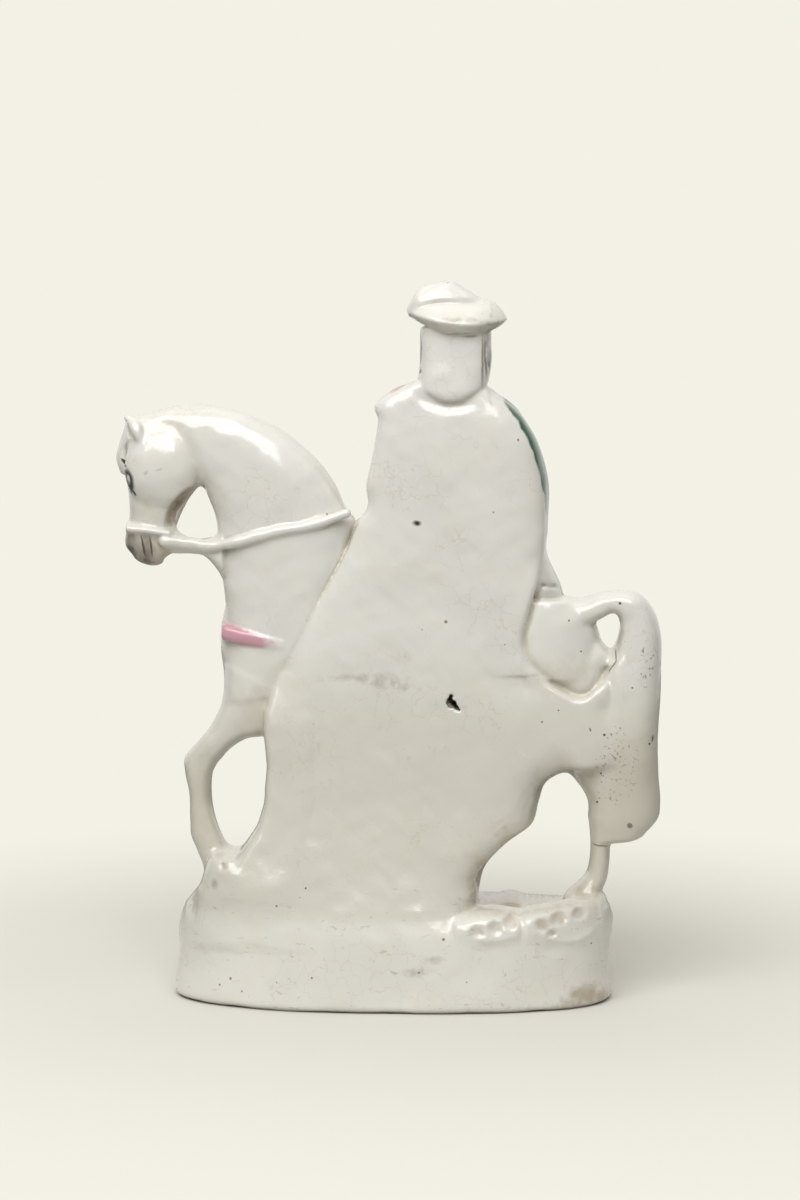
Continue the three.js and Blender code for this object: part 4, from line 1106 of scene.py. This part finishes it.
class Finish(Nodes):
    """A material's nodes. Lengths are in millimetres of the figure's own frame."""

    def __init__(self, name, tone):
        self.material = bpy.data.materials.new(name)
        super().__init__(self.material)
        self.tone = tone
        place = self.add("TexCoord", out="Object")
        self.mm = self.add("VectorMath", {0: place, 1: (1000, 1000, 1000)}, operation="MULTIPLY")
        # Patches of three sizes, in millimetres
        self.broad, self.middling, self.fine = (
            self.add("TexNoise", {"Vector": self.mm, "Scale": 1 / size, "Detail": detail})
            for size, detail in ((38, 3.0), (16, 4.0), (3, 3.0)))
        wobble = self.add("TexNoise", {"Vector": self.mm, "Scale": 1 / 4, "Detail": 2.0}, out="Color")
        self.edge = self.add("Attribute", out="Fac", attribute_name="edge")
        # A brushed edge wanders by up to 0.6 mm, and craze lines bend by up to 2.5 mm
        drift = self.add("VectorMath", {0: wobble, 1: (1.2, 1.2, 1.2), 2: (-0.6, -0.6, -0.6)},
                         operation="MULTIPLY_ADD")
        self.worn = self.add("VectorMath", {0: self.mm, 1: drift}, operation="ADD")
        self.bent = self.add("VectorMath", {0: wobble, 1: (5, 5, 5), 2: self.mm}, operation="MULTIPLY_ADD")
        self.height = self.add("SeparateXYZ", {0: self.mm}, out="Z")

    def wash(self, over, value, low, high, strength):
        """Lays a colour over the rest, from nothing at the low value to full strength at the high one."""
        amount = self.add("MapRange", {"Value": value, "From Min": low, "From Max": high, "To Max": strength},
                          interpolation_type="SMOOTHSTEP")
        # A colour mix node's sockets 6 and 7 are the two colours, and its output 2 is the mixed one
        self.tone = self.add("Mix", {"Factor": amount, 6: self.tone, 7: over}, out=2, data_type="RGBA")

    def within(self, value, low, high, of):
        """Keeps a value only where a second one lies above a limit, with a soft edge from low to high."""
        share = self.add("MapRange", {"Value": of, "From Min": low, "From Max": high},
                         interpolation_type="SMOOTHSTEP")
        return self.add("Math", {0: value, 1: share}, operation="MULTIPLY")

    def touch(self, over, at, size, tilt, strength, ragged):
        """One touch of the brush: a soft-edged oval. Tilt turns it, as seen from the back, and its size
        along Y keeps it off the other side."""
        inside = self.add("Mapping", {"Vector": self.worn, "Location": at, "Scale": size,
                                      "Rotation": (0, math.radians(tilt), 0)}, vector_type="TEXTURE")
        away = self.add("VectorMath", {0: inside}, out="Value", operation="LENGTH")
        self.wash(over, away, 1 + ragged, 1 - ragged, strength)


def tint(f):
    """Cooler and warmer patches, greyer glaze low on the body that is part stain and part painted shade, thick
    glaze in hollows, dirt in the deepest.
    """
    f.wash(colour("cool"), f.broad, 0.4, 0.65, 0.8)
    f.wash(colour("warm"), f.middling, 0.5, 0.75, 0.5)
    # Greyer glaze between 30 and 165 mm high: partly stain, partly painted shade that darkens the lower body
    f.wash(colour("aged_and_shaded"), f.within(f.within(1.0, 165, 95, f.height), 30, 50, f.height), 0, 1, 0.75)
    f.wash(colour("pooled_glaze_and_shade"), f.edge, -0.05, -0.6, 0.8)
    sunk = f.add("Math", {0: f.edge, 1: -1.0}, operation="MULTIPLY")
    f.wash(colour("dirt"), f.within(sunk, 0.4, 0.6, f.fine), 0.45, 1.2, 0.4)


def craze(f):
    """Craze lines, finer than 0.1 mm on the real one, drawn about 0.2 mm wide so that they show."""
    cells = f.add("TexVoronoi", {"Vector": f.bent, "Scale": 1 / 9}, feature="DISTANCE_TO_EDGE")
    near = f.add("Math", {0: 0.03, 1: cells}, operation="SUBTRACT")
    f.wash(colour("crazing_and_shade"), f.within(near, 0.42, 0.56, f.broad), 0.008, 0.026, 0.22)


def speckle(f):
    """Specks of ash and iron, and the finer ones that pepper the tail."""
    for size, share, strength in ((5.0, 0.17, 0.75), (2.6, 0.12, 0.35)):
        spots = f.add("TexVoronoi", {"Vector": f.mm, "Scale": 1 / size}, out="Color")
        close = f.add("TexVoronoi", {"Vector": f.mm, "Scale": 1 / size})
        pick = f.add("SeparateColor", {0: spots}, out=0)
        speck = f.add("Math", {0: close, 1: pick}, operation="ADD")
        f.wash(colour("dirt"), speck, share, share - 0.05, strength)
    peppered = f.add("Attribute", out="Fac", attribute_name="peppered")
    fleck = f.add("TexNoise", {"Vector": f.mm, "Scale": 1 / 1.3, "Detail": 2.0})
    f.wash(colour("brown"), f.within(fleck, -2.0, 3.0, peppered), 0.59, 0.68, 0.6)


def scuffs_and_foot_shadow(f):
    """Scuffs from lying on shelves, in short level dashes low on the body, and a dark line along the foot that
    is partly its worn edge and partly painted shadow where the base meets the floor.
    """
    dashed = f.add("VectorMath", {0: f.bent, 1: (0.2, 0.2, 0.8)}, operation="MULTIPLY")
    scuff = f.add("TexNoise", {"Vector": dashed, "Scale": 1.0, "Detail": 2.0})
    f.wash(colour("dirt"), f.within(scuff, 125, 45, f.height), 0.65, 0.77, 0.3)
    # The dark line along the foot: partly its worn brown edge, partly painted shadow where the base meets the
    # floor
    f.wash(colour("dirt"), f.height, 1.8, 0.5, 0.5)


def paint(f):
    """The enamels of the front, broad washes, and small touches over them."""
    uneven = f.add("Math", {0: f.fine, 1: 2.4, 2: -1.2}, operation="MULTIPLY_ADD")
    depth = f.add("SeparateXYZ", {0: f.worn}, out="Y")
    for kind, (name, strength, reach) in ENAMELS.items():
        inside = f.add("Attribute", out="Fac", attribute_name="in_" + kind)
        f.wash(colour(name), f.within(inside, reach + 0.5, reach - 0.5, depth), 0.05, 0.5, strength)
    for area, (name, strength, soft, _) in WASHES.items():
        inside = f.add("Attribute", out="Fac", attribute_name=area)
        ragged = f.add("Math", {0: uneven, 1: soft, 2: inside}, operation="MULTIPLY_ADD")
        f.wash(colour(name), ragged, -soft, soft, strength)
    for name, strength, ragged, marks in TOUCHES:
        for x, y, z, rx, ry, rz, tilt in marks:
            f.touch(colour(name), (x, y, z), (rx, ry, rz), tilt, strength, ragged)


def gloss(f):
    """A glassy skin that lies uneven by some hundredths of a millimetre."""
    wavy = f.add("TexNoise", {"Vector": f.mm, "Scale": 1 / 5, "Detail": 3.0, "Roughness": 0.6})
    bump = f.add("Bump", {"Height": wavy, "Strength": 1.0, "Distance": 0.00012})
    shader = f.add("BsdfPrincipled", {
        "Base Color": f.tone, "Roughness": 0.2, "IOR": 1.54, "Coat Weight": 0.4, "Coat Roughness": 0.06,
        "Coat IOR": 1.5, "Normal": bump, "Coat Normal": bump})
    f.add("OutputMaterial", {"Surface": shader})


class FLATBACK_OT_glaze(bpy.types.Operator):
    """Glazes and enamels the figure"""
    bl_idname = "flatback.glaze"
    bl_label = "Glaze"

    def execute(self, context):
        # Press-moulded earthenware under a thick clear lead glaze: a creamy white that is glassy all over,
        # yellower where the glaze lies thick, greyed low down by handling and by painted shade, with craze
        # lines, dirty crevices, and painted shade and shadow in some hollows and under the hat brim
        f = Finish("Lead-glazed earthenware, press-moulded", colour("glaze"))
        for layer in (tint, craze, speckle, scuffs_and_foot_shadow, paint, gloss):
            layer(f)
        bpy.data.objects[PIECE].data.materials.append(f.material)
        return {"FINISHED"}


class FLATBACK_OT_stage(bpy.types.Operator):
    """Sets the pale floor, the soft lights and the camera"""
    bl_idname = "flatback.stage"
    bl_label = "Stage"

    def execute(self, context):
        scene = context.scene
        scene.view_settings.view_transform = "Standard"
        turn = math.radians(CAMERA_TURN)
        lift = math.radians(CAMERA_LIFT)
        target = Vector(CAMERA_AIM)
        back = Vector((math.sin(turn) * math.cos(lift), -math.cos(turn) * math.cos(lift), math.sin(lift)))
        data = bpy.data.cameras.new("Camera")
        data.lens = sizes().camera_lens
        data.sensor_width = 36
        camera = bpy.data.objects.new("Camera", data)
        camera.location = target + sizes().camera_distance * back
        camera.rotation_euler = back.to_track_quat("Z", "Y").to_euler()
        scene.collection.objects.link(camera)
        scene.camera = camera
        floor(scene)
        daylight(scene)
        softboxes(scene)
        return {"FINISHED"}


# The paper fades into the backdrop between these distances from the middle of the base, in metres
PAPER_FADE = (0.1, 0.42)

# How bright the backdrop is on the floor and behind the figure, for all but the camera
FLOOR_GLOW = 0.3
BACKDROP_GLOW = 0.85

# The room's brightness by direction, from straight down at 0 to straight up at 1, and the strength of it all
SKY = ((0, 0.25), (0.49, 0.25), (0.53, 0.1), (0.65, 0.1), (0.75, 0.25), (0.9, 0.64), (1, 1))
DAYLIGHT = 1.18
DAYLIGHT_COLOUR = "#fffdf7"

# Softboxes: place, what they face, width, height and power in watts
SOFTBOXES = {
    "Front softbox": ((0.16, 0.8, 0.98), (0, 0, 0.2), 1.2, 0.8, 14.0),
}


def floor(scene):
    """A round of pale paper that fades into the backdrop's colour, so that no edge shows from any side."""
    angle = turns(96)
    mesh = bpy.data.meshes.new("paper_floor")
    mesh.from_pydata(np.stack([np.cos(angle), np.sin(angle), 0 * angle], axis=1), [],
                     [tuple(range(len(angle)))])
    ground = bpy.data.objects.new("paper_floor", mesh)
    scene.collection.objects.link(ground)
    material = bpy.data.materials.new("Matt paper")
    # Matt white paper: plain and soft, so that only the figure shines
    n = Nodes(material)
    away = n.add("VectorMath", {0: n.add("TexCoord", out="Object")}, out="Value", operation="LENGTH")
    near, far = PAPER_FADE
    faded = n.add("MapRange", {"Value": away, "From Min": near, "From Max": far},
                  interpolation_type="SMOOTHSTEP")
    paper = n.add("BsdfPrincipled", {"Base Color": colour("floor"), "Roughness": 0.9})
    seen = n.add("LightPath", out="Is Camera Ray")
    glow = n.add("MapRange", {"Value": seen, "To Min": FLOOR_GLOW, "To Max": 1.0})
    beyond = n.add("Emission", {"Color": colour("backdrop"), "Strength": glow})
    n.add("OutputMaterial", {"Surface": n.add("MixShader", {0: faded, 1: paper, 2: beyond})})
    mesh.materials.append(material)


def daylight(scene):
    """Daylight of the room: dim at eye level, bright overhead and on the pale backdrop."""
    world = bpy.data.worlds.new("Studio")
    scene.world = world
    w = Nodes(world)
    height = w.add("SeparateXYZ", {0: w.add("TexCoord", out="Generated")}, out="Z")
    part = w.add("MapRange", {"Value": height, "From Min": -1.0})
    bright = w.add("FloatCurve", {"Value": part})
    curve = bright.node.mapping.curves[0]
    curve.points[0].location = SKY[0]
    curve.points[1].location = SKY[-1]
    for place in SKY[1:-1]:
        curve.points.new(*place)
    bright.node.mapping.update()
    strength = w.add("Math", {0: bright, 1: DAYLIGHT}, operation="MULTIPLY")
    depth = w.add("SeparateXYZ", {0: w.add("TexCoord", out="Generated")}, out="Y")
    backdrop = w.add("MapRange", {"Value": depth, "From Min": -0.2, "From Max": -0.6,
                                  "To Max": BACKDROP_GLOW},
                     interpolation_type="SMOOTHSTEP")
    lit = w.add("Math", {0: strength, 1: backdrop}, operation="MAXIMUM")
    shine = w.add("Background", {"Color": linear(DAYLIGHT_COLOUR), "Strength": lit})
    pale = w.add("Background", {"Color": colour("backdrop"), "Strength": 1.0})
    seen = w.add("LightPath", out="Is Camera Ray")
    w.add("OutputWorld", {"Surface": w.add("MixShader", {0: seen, 1: shine, 2: pale})})


def softboxes(scene):
    for name, (place, aim, wide, tall, watts) in SOFTBOXES.items():
        data = bpy.data.lights.new(name, "AREA")
        data.shape = "RECTANGLE"
        data.size = wide
        data.size_y = tall
        data.energy = watts
        light = bpy.data.objects.new(name, data)
        light.location = place
        light.visible_camera = False
        light.rotation_euler = (Vector(place) - Vector(aim)).to_track_quat("Z", "Y").to_euler()
        scene.collection.objects.link(light)


class FLATBACK_PT_panel(bpy.types.Panel):
    """Buttons that build the figure step by step"""
    bl_idname = "FLATBACK_PT_panel"
    bl_label = "Rider flatback"
    bl_space_type = "VIEW_3D"
    bl_region_type = "UI"
    bl_category = "Flatback"

    def draw(self, context):
        for operator in OPERATORS:
            self.layout.operator(operator.bl_idname)


OPERATORS = (FLATBACK_OT_figure, FLATBACK_OT_glaze, FLATBACK_OT_stage)
CLASSES = (FlatbackSizes, FlatbackColours, *OPERATORS, FLATBACK_PT_panel)


def register():
    for cls in CLASSES:
        bpy.utils.register_class(cls)
    bpy.types.Scene.flatback_sizes = bpy.props.PointerProperty(type=FlatbackSizes)
    bpy.types.Scene.flatback_colours = bpy.props.PointerProperty(type=FlatbackColours)


def unregister():
    del bpy.types.Scene.flatback_sizes
    del bpy.types.Scene.flatback_colours
    for cls in reversed(CLASSES):
        bpy.utils.unregister_class(cls)


def main():
    register()
    bpy.ops.flatback.figure()
    bpy.ops.flatback.glaze()
    bpy.ops.flatback.stage()


if __name__ == "__main__":
    main()
